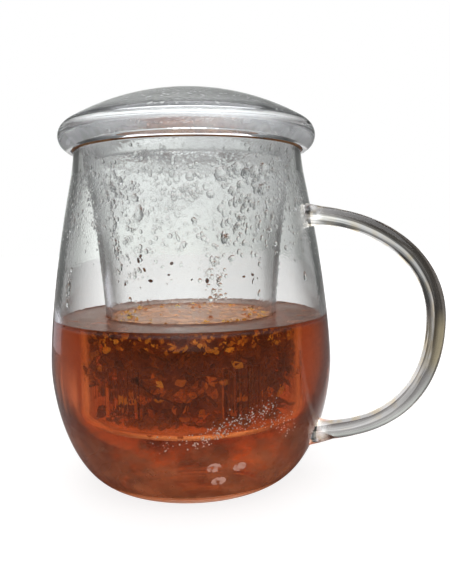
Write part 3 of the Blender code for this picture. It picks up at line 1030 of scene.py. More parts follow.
@dataclass
class Cup:
    """Pot-bellied body with its rod handle, one piece of glass."""

    foot_radius: float = 28.0 * MM
    belly_radius: float = 44.5 * MM
    belly_height: float = 37.0 * MM
    bowl_power: float = 1.8
    shoulder_drop: float = 8.6 * MM
    shoulder_height: float = 96.6 * MM
    shoulder_power: float = 1.5
    lip_start: float = 94.5 * MM
    lip_top: float = 102.6 * MM
    lip_radius: float = 35.4 * MM
    lip_hollow: float = 0.15 * MM
    wall: float = 2.0 * MM
    floor: float = 3.2 * MM
    floor_corner: float = 2.4 * MM
    corner_rise: float = 1.6 * MM
    bowl_start: float = 6.0 * MM
    rod: float = 2.6 * MM
    upper_joint: tuple[float, float] = (36.0 * MM, 81.6 * MM)
    lower_joint: tuple[float, float] = (38.0 * MM, 16.0 * MM)
    reach: tuple[float, float] = (75.1 * MM, 52.0 * MM)
    upper_pull: tuple[float, float] = (58.0 * MM, 81.8 * MM)
    lower_pull: tuple[float, float] = (66.0 * MM, 18.0 * MM)
    upper_turn: float = 70.0 * MM
    lower_turn: float = 34.0 * MM
    upper_flare: float = 1.3
    lower_flare: float = 1.5
    flare_length: float = 9.0 * MM
    flare_start: float = 2.5 * MM
    rod_steps: int = 6
    rod_cuts: int = 9
    inner_share: float = 0.75
    rod_gap: float = 0.12 * MM
    floor_gap: float = 0.2 * MM

    def outer_radius(self, height: float) -> float:
        """Find the body's outer radius.

        Args:
            height: The height.

        Returns:
            The radius there.
        """
        if height < self.belly_height:
            rise = 1.0 - max(height, 0.0) / self.belly_height
            bulge = (1.0 - rise ** self.bowl_power) ** (1.0 / self.bowl_power)
            return self.foot_radius + (self.belly_radius - self.foot_radius) * bulge
        rise = (height - self.belly_height) / (self.shoulder_height - self.belly_height)
        return self.belly_radius - self.shoulder_drop * rise ** self.shoulder_power

    def inner_radius(self, height: float) -> float:
        """Return the cavity's radius at a height."""
        return self.outer_radius(height) - self.wall

    def side(self) -> Outline:
        """Lay out the body's outer side.

        Returns:
            Its outline from the foot's edge up to the lip.
        """
        bowl = [self.belly_height * (1.0 - math.cos(angle)) for angle in spread(0.0, math.pi / 2, 28)]
        heights = bowl + spread(self.belly_height, self.lip_start, 18)[1:]
        points = [(self.outer_radius(height), height) for height in heights]
        middle = (self.lip_start + self.lip_top) / 2
        points.append(((self.outer_radius(self.lip_start) + self.lip_radius) / 2 - self.lip_hollow, middle))
        return points

    def cavity(self, inset: float, floor: float, heights: Sequence[float]) -> Outline:
        """Lay out a surface inside the body.

        Args:
            inset: How far inside the outer side it runs.
            floor: Height of its floor.
            heights: Heights of its points.

        Returns:
            Its outline from the axis on the floor up.
        """
        corner = floor + self.corner_rise
        foot = self.outer_radius(floor) - inset - self.floor_corner
        top = self.outer_radius(corner) - inset
        points = [(0.0, floor)]
        for share in spread(0.0, 1.0, 4):
            ease = math.sin(share * math.pi / 2)
            points.append((foot + (top - foot) * ease,
                           floor + self.corner_rise * (1.0 - math.cos(share * math.pi / 2))))
        points += [(self.outer_radius(height) - inset, height) for height in heights]
        return points

    def rod_line(self) -> Item:
        """Model the handle's rod from a Bezier curve with a round section.

        Returns:
            The rod.
        """
        Workbench.pick()
        bpy.ops.curve.primitive_bezier_curve_add(radius=MM)
        item = bpy.context.object
        curve = item.data
        spline = curve.splines[0]
        spline.bezier_points.add(1)
        turn = self.reach[0]
        stops = (
            (self.upper_joint, self.upper_joint, self.upper_pull),
            (self.reach, (turn, self.upper_turn), (turn, self.lower_turn)),
            (self.lower_joint, self.lower_pull, self.lower_joint),
        )
        for point, (place, before, after) in zip(spline.bezier_points, stops):
            point.handle_left_type = point.handle_right_type = "FREE"
            point.co = (place[0], 0.0, place[1])
            point.handle_left = (before[0], 0.0, before[1])
            point.handle_right = (after[0], 0.0, after[1])
        curve.resolution_u = self.rod_steps
        curve.bevel_depth = self.rod
        curve.bevel_resolution = self.rod_steps
        curve.use_fill_caps = True
        bpy.ops.object.mode_set(mode="EDIT")
        bpy.ops.curve.select_all(action="SELECT")
        bpy.ops.curve.subdivide(number_cuts=self.rod_cuts)
        bpy.ops.object.mode_set(mode="OBJECT")
        for point in curve.splines[0].bezier_points:
            place = (point.co.x, point.co.z)
            upper = self.flare(math.dist(place, self.upper_joint), self.upper_flare)
            lower = self.flare(math.dist(place, self.lower_joint), self.lower_flare)
            point.radius = upper * lower
        bpy.ops.object.convert(target="MESH")
        item = bpy.context.object
        Workbench.settle(item)
        Workbench.edit(item)
        bpy.ops.mesh.remove_doubles(threshold=MERGE)
        bpy.ops.mesh.normals_make_consistent(inside=False)
        Workbench.close()
        return item

    def flare(self, distance: float, size: float) -> float:
        """Return how much the rod swells at a distance from its joint."""
        share = max(0.0, 1.0 - (distance - self.flare_start) / self.flare_length)
        return 1.0 + (size - 1.0) * share ** 2

    def build(self) -> Item:
        """Model the cup: turn the body and fuse the handle on.

        Returns:
            The cup.
        """
        round_off = self.wall / 2
        lip = arc((self.lip_radius - round_off, self.lip_top - round_off), round_off, 0.0, 180.0, 10)
        heights = spread(self.bowl_start, self.belly_height, 20)
        heights += spread(self.belly_height, self.lip_start, 18)[1:]
        outline = self.cavity(self.wall, self.floor, heights) + lip[::-1]
        outline += self.side()[::-1] + [(0.0, 0.0)]
        body = Workbench.turn("cup_glass", outline)
        rod = self.rod_line()
        core = self.cavity(self.wall / 2, self.floor - self.wall / 2, heights) + [(0.0, self.lip_start)]
        Workbench.combine(rod, Workbench.turn("core", core), Fusing.CUT)
        Workbench.combine(body, rod, Fusing.ADD)
        Workbench.smooth(body, 42.0)
        return body

    def rod_points(self) -> np.ndarray:
        """Lay out the rod's centre line.

        Returns:
            Its points in the XZ plane.
        """
        turn = self.reach[0]
        upper = (self.upper_joint, self.upper_pull, (turn, self.upper_turn), self.reach)
        lower = (self.reach, (turn, self.lower_turn), self.lower_pull, self.lower_joint)
        points = []
        for start, pull, push, end in (upper, lower):
            for share in spread(0.0, 1.0, 60):
                rest = 1.0 - share
                weights = (rest ** 3, 3 * rest ** 2 * share, 3 * rest * share ** 2, share ** 3)
                points.append(sum(weight * np.array(place) for weight, place in
                                  zip(weights, (start, pull, push, end))))
        return np.array(points)

    def mark_rod(self, item: Item) -> None:
        """Store for each vertex how far out from the rod's centre line it lies and how far along it.

        Args:
            item: The cup, which gets the attributes "across" (in rod radii) and "along" (0 to 1).
        """
        line = self.rod_points()
        lengths = np.concatenate([[0.0], np.cumsum(np.linalg.norm(np.diff(line, axis=0), axis=1))])
        places = np.array([vertex.co[:] for vertex in item.data.vertices])
        middle = np.array([self.lower_joint[0], self.reach[1]])
        flat, line = places[:, (0, 2)] - middle, line - middle
        turns, bends = np.arctan2(flat[:, 1], flat[:, 0]), np.arctan2(line[:, 1], line[:, 0])
        order = np.argsort(bends)
        along = np.interp(turns, bends[order], lengths[order] / lengths[-1])
        reach = np.interp(turns, bends[order], np.linalg.norm(line, axis=1)[order])
        out = np.linalg.norm(flat, axis=1) - reach
        for name, values in (("across", out / self.rod), ("along", along)):
            layer = item.data.attributes.new(name, "FLOAT", "POINT")
            layer.data.foreach_set("value", np.clip(values, -2.0, 2.0).astype(np.float32))

    def coat(self, place: Vector, level: float) -> Coat:
        """Return which finish the glass has at a place.

        Args:
            place: Middle of one of the cup's faces.
            level: Height of the tea.

        Returns:
            Misted or wetted on the inner side, the rod's own on the handle, and else clear.
        """
        height, reach = place.z, math.hypot(place.x, place.y)
        if height >= self.lip_start:
            return Coat.CLEAR
        if reach < self.outer_radius(height) - self.wall * self.inner_share:
            if self.floor - self.floor_gap < height < level:
                return Coat.WETTED
            return Coat.MISTED if height > level else Coat.CLEAR
        return Coat.ROD if reach > self.outer_radius(height) + self.rod_gap else Coat.CLEAR

    def dress(self, item: Item, level: float) -> None:
        """Give the glass its finishes, in the order of Coat.

        Args:
            item: The cup.
            level: Height of the tea, above which the inner side is misted.
        """
        item.data.materials.clear()
        item.data.materials.append(GlassFinish().build())
        item.data.materials.append(MistFinish(name="misted_cup_glass", haze=0.12, blur=0.10).build())
        item.data.materials.append(GlassFinish(name="wetted_cup_glass", glint=0.03).build())
        item.data.materials.append(RodFinish().build())
        self.mark_rod(item)
        for polygon in item.data.polygons:
            polygon.material_index = self.coat(polygon.center, level).value
        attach(item, BODY)
        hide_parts("cup")


@dataclass
class Infuser:
    """Thin slitted glass beaker that hangs in the mouth by its flange."""

    foot: float = 26.6 * MM
    flare: float = 6.1 * MM
    power: float = 2.2
    base: float = 19.4 * MM
    top: float = 101.4 * MM
    wall: float = 1.6 * MM
    floor: float = 1.8 * MM
    corner: float = 4.5 * MM
    flange_radius: float = 35.2 * MM
    flange: float = 1.4 * MM
    flange_inset: float = 0.3 * MM
    seat: float = 102.9 * MM
    mouth_round: float = 0.8 * MM
    slit_groups: int = 5
    slits_in_group: int = 4
    slit_spacing: float = 3.3 * MM
    slit_width: float = 1.4 * MM
    slit_bottom: float = 25.5 * MM
    slit_top: float = 38.5 * MM
    slit_reach: float = 6.0 * MM

    def outer_radius(self, height: float) -> float:
        """Return the outer radius at a height."""
        rise = max(0.0, (height - self.base) / (self.top - self.base))
        return self.foot + self.flare * rise ** self.power

    def inner_radius(self, height: float) -> float:
        """Return the inner radius at a height."""
        return self.outer_radius(height) - self.wall

    def skin(self, offset: float, top: float, steps: int) -> Outline:
        """Lay out a surface parallel to the outer side.

        Args:
            offset: How far outside the outer side it runs.
            top: Height of its end.
            steps: How many steps its side has.

        Returns:
            Its outline from the axis under the floor up.
        """
        centre = (self.outer_radius(self.base) - self.corner, self.base + self.corner)
        points = [(0.0, self.base - offset)] + arc(centre, self.corner + offset, -90.0, 0.0, 10)
        heights = spread(centre[1], top, steps)[1:]
        return points + [(self.outer_radius(height) + offset, height) for height in heights]

    def inside(self, inset: float, floor: float, top: float, steps: int) -> Outline:
        """Lay out a surface inside the outer side, with a floor of its own.

        Args:
            inset: How far inside it runs.
            floor: Height of its floor.
            top: Height of its end.
            steps: How many steps its side has.

        Returns:
            Its outline from the axis on the floor up.
        """
        points = self.skin(-inset, top, steps)
        low = [(radius, max(height, floor)) for radius, height in points[1:]]
        return [(0.0, floor)] + low

    def slit_angles(self) -> list[float]:
        """Work out where the slits are round the wall.

        Returns:
            Their angles in radians.
        """
        step = self.slit_spacing / self.foot
        middle = (self.slits_in_group - 1) / 2
        groups = [2.0 * math.pi * (group + 0.5) / self.slit_groups for group in range(self.slit_groups)]
        return [start + (index - middle) * step for start in groups for index in range(self.slits_in_group)]

    def bars(self, reach: float, grow: float) -> Item:
        """Model upright bars through the wall, one for each slit.

        Args:
            reach: How far a bar reaches through the wall.
            grow: How much larger than its slit it is on each side.

        Returns:
            The bars, as one object.
        """
        middle = (self.slit_bottom + self.slit_top) / 2
        radius = self.outer_radius(middle) - self.wall / 2
        bars = []
        for angle in self.slit_angles():
            Workbench.pick()
            place = (radius * math.cos(angle), radius * math.sin(angle), middle)
            bpy.ops.mesh.primitive_cube_add(size=1.0, location=place, rotation=(0.0, 0.0, angle))
            bar = bpy.context.object
            bar.scale = (reach, self.slit_width + 2 * grow, self.slit_top - self.slit_bottom + 2 * grow)
            Workbench.settle(bar)
            bars.append(bar)
        return Workbench.join("bars", bars)

    def build(self) -> Item:
        """Turn the beaker and cut its slits.

        Returns:
            The beaker.
        """
        rim = arc((self.flange_radius - self.flange / 2, self.seat + self.flange / 2), self.flange / 2,
                  -90.0, 90.0, 8)
        mouth = [(self.inner_radius(self.top) + self.mouth_round, self.seat + self.flange)]
        inner = self.inside(self.wall, self.base + self.floor, self.top, 22)
        outline = inner + mouth + rim[::-1] + [(self.outer_radius(self.top) + self.flange_inset, self.seat)]
        outline += self.skin(0.0, self.top, 22)[::-1]
        beaker = Workbench.turn("infuser_glass", outline)
        Workbench.combine(beaker, self.bars(self.slit_reach, 0.0), Fusing.CUT)
        Workbench.smooth(beaker, 42.0)
        return beaker

    def dress(self, item: Item, level: float) -> None:
        """Give the beaker its finishes, in the order of Coat.

        Args:
            item: The infuser.
            level: Height of the tea, above which the beaker is misted.
        """
        item.data.materials.clear()
        item.data.materials.append(GlassFinish(name="infuser_glass", wave=0.1).build())
        item.data.materials.append(MistFinish(name="misted_infuser_glass", haze=0.16, blur=0.14).build())
        item.data.materials.append(GlassFinish(name="wetted_infuser_glass", glint=0.03).build())
        for polygon in item.data.polygons:
            height = polygon.center.z
            coat = Coat.WETTED if height < level else Coat.MISTED if height < self.seat else Coat.CLEAR
            polygon.material_index = coat.value
        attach(item, BODY)
        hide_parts("infuser")


@dataclass
class Lid:
    """Hollow dome with a rounded rim, a seat on the infuser's flange and a skirt in its mouth."""

    top: float = 120.8 * MM
    dome: float = 72.6 * MM
    edge_radius: float = 4.67 * MM
    edge: tuple[float, float] = (35.16 * MM, 106.3 * MM)
    wall: float = 2.2 * MM
    overhang: float = 35.85 * MM
    tip: float = 0.6 * MM
    tip_lift: float = 0.35 * MM
    seat: float = 104.6 * MM
    seat_round: float = 0.5 * MM
    hollow_reach: float = 0.6 * MM
    hollow_edge: float = 35.0 * MM
    skirt: float = 30.4 * MM
    skirt_taper: float = 0.8 * MM
    skirt_wall: float = 2.0 * MM
    skirt_bottom: float = 98.4 * MM
    inner_share: float = 0.6
    # Heights and strengths of a painted reflection: a soft band of emitted light on the rim.
    painted_sheen: Stops = ((0.1025, 0.0), (0.1045, 0.16), (0.1065, 0.22), (0.108, 0.1), (0.109, 0.0))
    beads: Stops = ((0.1105, 0.0), (0.1125, 1.0), (0.122, 1.0))
    mist: Stops = ((0.097, 0.6), (0.104, 1.0), (0.108, 0.8), (0.1125, 0.25), (0.1195, 0.35))

    def build(self) -> Item:
        """Turn the lid, from its top over the rim and the skirt to the crown's inner side.

        Returns:
            The lid.
        """
        centre = self.top - self.dome
        tangent = math.degrees(math.atan2(self.edge[1] - centre, self.edge[0]))
        outline = arc((0.0, centre), self.dome, 90.0, tangent, 18)
        outline[0] = (0.0, self.top)
        outline += arc(self.edge, self.edge_radius, tangent, -66.0, 18)[1:]
        tip = self.edge[1] - self.edge_radius + self.tip + self.tip_lift
        outline += [(self.overhang + self.tip * 0.4, tip - self.tip * 0.7), (self.overhang, tip)]
        outline += [(self.overhang, self.seat - self.seat_round),
                    (self.overhang - self.seat_round, self.seat)]
        outline.append((self.skirt, self.seat))
        end = (self.skirt - self.skirt_taper - self.skirt_wall / 2, self.skirt_bottom + self.skirt_wall / 2)
        outline += arc(end, self.skirt_wall / 2, 0.0, -180.0, 8)
        floor = self.seat + self.skirt_wall
        throat = self.skirt - self.skirt_wall
        outline += [(throat, floor - self.seat_round), (throat + self.seat_round, floor)]
        inner = self.dome - self.wall
        hollow = self.edge[0] + self.hollow_reach
        bend = (centre + math.sqrt(inner ** 2 - hollow ** 2) - floor) / 2
        outline += arc((hollow, floor + bend), bend, -90.0, 60.0, 10)
        crown = arc((0.0, centre), inner, math.degrees(math.acos(hollow / inner)), 90.0, 18)[1:]
        crown[-1] = (0.0, self.top - self.wall)
        lid = Workbench.turn("lid_glass", outline + crown)
        Workbench.smooth(lid, 42.0)
        return lid

    def dress(self, item: Item) -> None:
        """Give the lid its clear finish, with a painted reflection on the rim, and mist under the crown and
        on the skirt that faintly shines as painted light.

        Args:
            item: The lid.
        """
        clear = GlassFinish(name="lid_glass", tint=(0.975, 0.98, 0.99), painted_sheen=self.painted_sheen, wave=0.4,
                            beads=self.beads)
        misted = MistFinish(name="misted_lid_glass", stops=self.mist, haze=0.3, blur=0.1, painted_glow=0.06)
        item.data.materials.clear()
        for finish in (clear, misted):
            item.data.materials.append(finish.build())
        middle = Vector((0.0, 0.0, self.top - self.dome))
        for polygon in item.data.polygons:
            place = polygon.center
            under = (place - middle).length < self.dome - self.wall * self.inner_share
            coat = Coat.MISTED if under and math.hypot(place.x, place.y) < self.hollow_edge else Coat.CLEAR
            polygon.material_index = coat.value
        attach(item, BODY)
        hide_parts("lid")


@dataclass
class Tea:
    """Tea that fills the cup and, through the slits, the infuser, and reaches just into the glass."""

    level: float = 51.0 * MM
    climb: float = 0.35 * MM
    climb_width: float = 2.2 * MM

    def climb_points(self, wall: float, inward: float) -> Outline:
        """Return the curve by which the surface climbs a wall, from the wall to the level.

        Args:
            wall: Radius at which the tea ends, just inside the glass.
            inward: Direction away from the wall, 1 or -1.

        Returns:
            The points from the top of the climb down to the level.
        """
        points = []
        for share in (0.0, 0.07, 0.2, 0.4, 0.65, 1.0):
            points.append((wall + inward * self.climb_width * share,
                           self.level + self.climb * (1.0 - share) ** 3))
        return points

    def build(self, cup: Cup, infuser: Infuser) -> Item:
        """Model the tea: the part round the infuser, the part in it, and a bar through each slit.

        Args:
            cup: The cup that it fills.
            infuser: The infuser that hangs in it.

        Returns:
            The tea.
        """
        inset = cup.wall - OVERLAP
        heights = spread(cup.bowl_start, cup.belly_height, 18)
        heights += spread(cup.belly_height, self.level + self.climb, 5)[1:]
        outer = cup.cavity(inset, cup.floor - OVERLAP, heights)
        outer += self.climb_points(outer[-1][0], -1.0)[1:]
        hole = infuser.skin(-OVERLAP, self.level + self.climb, 10)
        hole += self.climb_points(hole[-1][0], 1.0)[1:]
        tea = Workbench.turn("tea_fill", hole + outer[::-1])
        inside = infuser.inside(infuser.wall - OVERLAP, infuser.base + infuser.floor - OVERLAP,
                                self.level + self.climb, 10)
        inside += self.climb_points(inside[-1][0], -1.0)[1:] + [(0.0, self.level)]
        Workbench.combine(tea, Workbench.turn("tea_inside", inside), Fusing.ADD)
        Workbench.combine(tea, infuser.bars(infuser.wall + 1.0 * MM, OVERLAP), Fusing.ADD)
        Workbench.smooth(tea, 50.0)
        return tea

    def dress(self, item: Item) -> None:
        """Give the tea its colour through its depth.

        Args:
            item: The tea.
        """
        item.data.materials.clear()
        item.data.materials.append(TeaFinish().build())
        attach(item, BODY)
        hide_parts("tea")


def measure(draw: random.Random, span: tuple[float, float]) -> float:
    """Return a random measure in metres from a span in millimetres."""
    return draw.uniform(span[0] * MM, span[1] * MM)


class Where(Enum):
    """Where loose pieces lie on the bed of leaves."""

    SIDE = "side"
    TOP = "top"


@dataclass(frozen=True)
class Lot:
    """Lot of loose pieces on the bed of leaves.

    Args:
        where: Whether they lie round its side or on its top.
        count: How many there are.
        sizes: Least and most length in mm.
        heights: Lowest and highest place in mm.
        reach: Least and most distance in mm, out from the side, or from the axis on the top.
        tilt: How far those on the top lean, in radians.
    """

    where: Where
    count: int
    sizes: tuple[float, float]
    heights: tuple[float, float]
    reach: tuple[float, float]
    tilt: float = 0.35


@dataclass(frozen=True)
class Loose:
    """Kind of loose pieces: their name and finish, how they are modelled in which forms, and their lots."""

    name: str
    finish: LeafFinish
    model: Callable[..., Item]
    forms: tuple[tuple[float, ...], ...]
    lots: tuple[Lot, ...]


@dataclass
class LeafBed:
    """Bed of steeped leaves that fills the infuser's lower half and just breaks the surface."""

    radius: float = 24.1 * MM
    shell: float = 5.0 * MM
    bottom: float = 21.4 * MM
    top: float = 50.3 * MM
    lump: float = 1.2 * MM
    side_power: float = 0.38
    top_power: float = 0.6
    foot_round: float = 11.0 * MM
    foot_power: float = 0.35
    seed: int = 7

    def core(self) -> Item:
        """Model the lumpy core of the bed.

        Returns:
            The core.
        """
        Workbench.pick()
        bpy.ops.mesh.primitive_uv_sphere_add(segments=72, ring_count=36, radius=1.0)
        core = bpy.context.object
        core.name = core.data.name = "leaf_core"
        half = (self.top - self.bottom) / 2 - self.shell / 4
        reach = self.radius - self.shell
        for vertex in core.data.vertices:
            x, y, z = vertex.co
            side = math.hypot(x, y)
            lump = self.lump * noise.noise(Vector((x * 3.1, y * 3.1, z * 2.3 + 4.0)))
            lump += self.lump * 0.6 * noise.noise(Vector((x * 9.0, y * 9.0, z * 9.0)))
            height = self.bottom + self.shell / 4 + half + math.copysign(abs(z) ** self.top_power, z) * half
            height += lump * max(z, 0.0)
            stretch = (reach * side ** self.side_power + lump) / side if side > MERGE else 0.0
            vertex.co = (x * stretch, y * stretch, height)
        Workbench.smooth(core, 70.0)
        return core

    def lay_on_side(self, scatter: Scatter, draw: random.Random, lot: Lot) -> None:
        """Scatter a lot of pieces round the bed's side.

        Args:
            scatter: Takes the pieces.
            draw: Source of chance.
            lot: The lot.
        """
        for index in range(lot.count):
            angle = draw.uniform(0.0, 2 * math.pi)
            height = measure(draw, lot.heights)
            rise = max(0.0, height - self.bottom) / self.foot_round
            room = self.radius * min(1.0, rise ** self.foot_power)
            wall = Wall(lambda z, r=room: r)
            size = Vector((measure(draw, lot.sizes),) * 3)
            place = wall.seat(angle, height, size, -measure(draw, lot.reach), draw.uniform(0.0, math.pi * 2))
            lean = Matrix.Rotation(draw.uniform(-0.5, 0.5), 4, "X")
            lean = lean @ Matrix.Rotation(draw.uniform(-0.5, 0.5), 4, "Y")
            scatter.add(index, place @ lean, draw.random())

    def lay_on_top(self, scatter: Scatter, draw: random.Random, lot: Lot) -> None:
        """Scatter a lot of pieces that float at the surface or lie flat in the bed.

        Args:
            scatter: Takes the pieces.
            draw: Source of chance.
            lot: The lot.
        """
        near, far = (distance * MM for distance in lot.reach)
        for index in range(lot.count):
            angle = draw.uniform(0.0, 2 * math.pi)
            radius = math.sqrt(draw.uniform(near ** 2, far ** 2))
            size = measure(draw, lot.sizes)
            height = measure(draw, lot.heights)
            place = Matrix.Translation((radius * math.cos(angle), radius * math.sin(angle), height))
            turn = Matrix.Rotation(draw.uniform(0.0, 2 * math.pi), 4, "Z")
            lean = Matrix.Rotation(draw.gauss(0.0, lot.tilt), 4, "X")
            scatter.add(index, place @ turn @ lean @ Matrix.Scale(size, 4), draw.random())

    def build(self) -> None:
        """Build and dress the bed and its loose leaves, petals, stems and buds."""
        core = self.core()
        # Painted light: the leaf mass gives off a faint light.
        finish = LeafFinish("wet_leaf_mass", LEAF_STOPS, by_piece=False, grain=500.0, painted_glow=0.03)
        core.data.materials.append(finish.build())
        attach(core, BODY)
        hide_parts("tea_leaves")
        draw = random.Random(self.seed)
        for kind in LOOSE:
            scatter = Scatter(kind.name, [kind.model(*form) for form in kind.forms])
            for lot in kind.lots:
                lay = self.lay_on_side if lot.where is Where.SIDE else self.lay_on_top
                lay(scatter, draw, lot)
            item = scatter.join()
            item.data.materials.append(kind.finish.build())
            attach(item, BODY)
            log.info("%s: %d pieces", item.name, len(scatter.placed))


LEAF_STOPS = ((0.2, (0.2, 0.07, 0.025)), (0.55, (0.55, 0.2, 0.05)), (0.9, (0.85, 0.36, 0.08)))
GOLD_STOPS = ((0.15, (0.3, 0.1, 0.015)), (0.45, (0.75, 0.36, 0.05)), (0.75, (1.0, 0.62, 0.1)),
              (0.95, (1.0, 0.85, 0.3)))
ORANGE_STOPS = ((0.1, (0.3, 0.07, 0.02)), (0.5, (0.8, 0.26, 0.05)), (0.9, (1.0, 0.5, 0.12)))
STEM_STOPS = ((0.1, (0.16, 0.07, 0.03)), (0.5, (0.4, 0.2, 0.08)), (0.9, (0.7, 0.42, 0.18)))
BUD_STOPS = ((0.1, (0.05, 0.02, 0.012)), (0.5, (0.3, 0.1, 0.035)), (0.9, (0.6, 0.27, 0.08)))

# Painted light: the leaves and petals give off a faint light, the petals most; stems and buds none.
LOOSE = (
    Loose(
        "curled_leaves", LeafFinish("curled_leaf", LEAF_STOPS, painted_glow=0.05), ShapeShop.blade,
        ((0.34, 120.0, 60.0), (0.26, 60.0, 140.0), (0.42, 170.0, 20.0)),
        (
            Lot(Where.SIDE, 620, (2.5, 6.5), (22.5, 49.0), (-5.0, 0.4)),
            Lot(Where.TOP, 160, (2.0, 5.0), (48.0, 49.6), (0.0, 23.0)),
            Lot(Where.TOP, 150, (2.5, 6.0), (22.2, 24.0), (8.0, 23.0)),
            Lot(Where.TOP, 14, (1.0, 2.2), (50.7, 51.1), (22.0, 24.8)),
        ),
    ),
    Loose(
        "golden_petals", LeafFinish("golden_petal", GOLD_STOPS, painted_glow=0.26, clear=0.4), ShapeShop.blade,
        ((0.55, 50.0, 10.0), (0.7, 80.0, -20.0)),
        (
            Lot(Where.SIDE, 460, (0.7, 2.2), (43.0, 49.6), (-0.8, 1.0)),
            Lot(Where.SIDE, 26, (2.0, 4.5), (28.0, 44.0), (-0.4, 0.9)),
            Lot(Where.TOP, 70, (1.0, 2.6), (49.6, 50.6), (5.0, 24.6)),
            Lot(Where.TOP, 90, (0.5, 1.7), (51.0, 51.3), (19.0, 25.0)),
        ),
    ),
    Loose(
        "orange_petals", LeafFinish("orange_petal", ORANGE_STOPS, painted_glow=0.17, clear=0.4), ShapeShop.blade,
        ((0.75, 60.0, 15.0), (0.5, 110.0, 50.0)),
        (
            Lot(Where.SIDE, 120, (1.0, 3.9), (23.5, 36.0), (-0.6, 0.9)),
            Lot(Where.TOP, 16, (0.8, 2.2), (51.0, 51.2), (2.0, 24.0)),
        ),
    ),
    Loose(
        "stems", LeafFinish("stem", STEM_STOPS), ShapeShop.stem, ((40.0, 0.06), (120.0, 0.05), (10.0, 0.08)),
        (
            Lot(Where.SIDE, 110, (3.0, 7.0), (23.0, 49.0), (0.1, 0.6)),
            Lot(Where.TOP, 12, (2.0, 4.0), (50.6, 51.0), (18.0, 24.0), 0.15),
        ),
    ),
    Loose(
        "buds", LeafFinish("bud", BUD_STOPS), ShapeShop.bud, ((3,), (8,)),
        (
            Lot(Where.SIDE, 70, (1.2, 3.0), (22.5, 49.5), (-0.2, 0.5)),
            Lot(Where.TOP, 16, (0.7, 1.5), (50.6, 51.1), (20.0, 24.6)),
        ),
    ),
)


@dataclass(frozen=True)
class Cluster:
    """Group of drops on a wall.

    Args:
        angle: Its middle's angle in degrees about Z.
        height: Its middle's height in mm.
        wide: How far it spreads round the wall, in degrees.
        tall: How far it spreads up and down, in mm.
        count: How many drops it has.
        least: Least size of a drop in mm.
        most: Most size of a drop in mm.
        run: Share of the larger drops that have run down.
    """

    angle: float
    height: float
    wide: float
    tall: float
    count: int
    least: float
    most: float
    run: float = 0.1


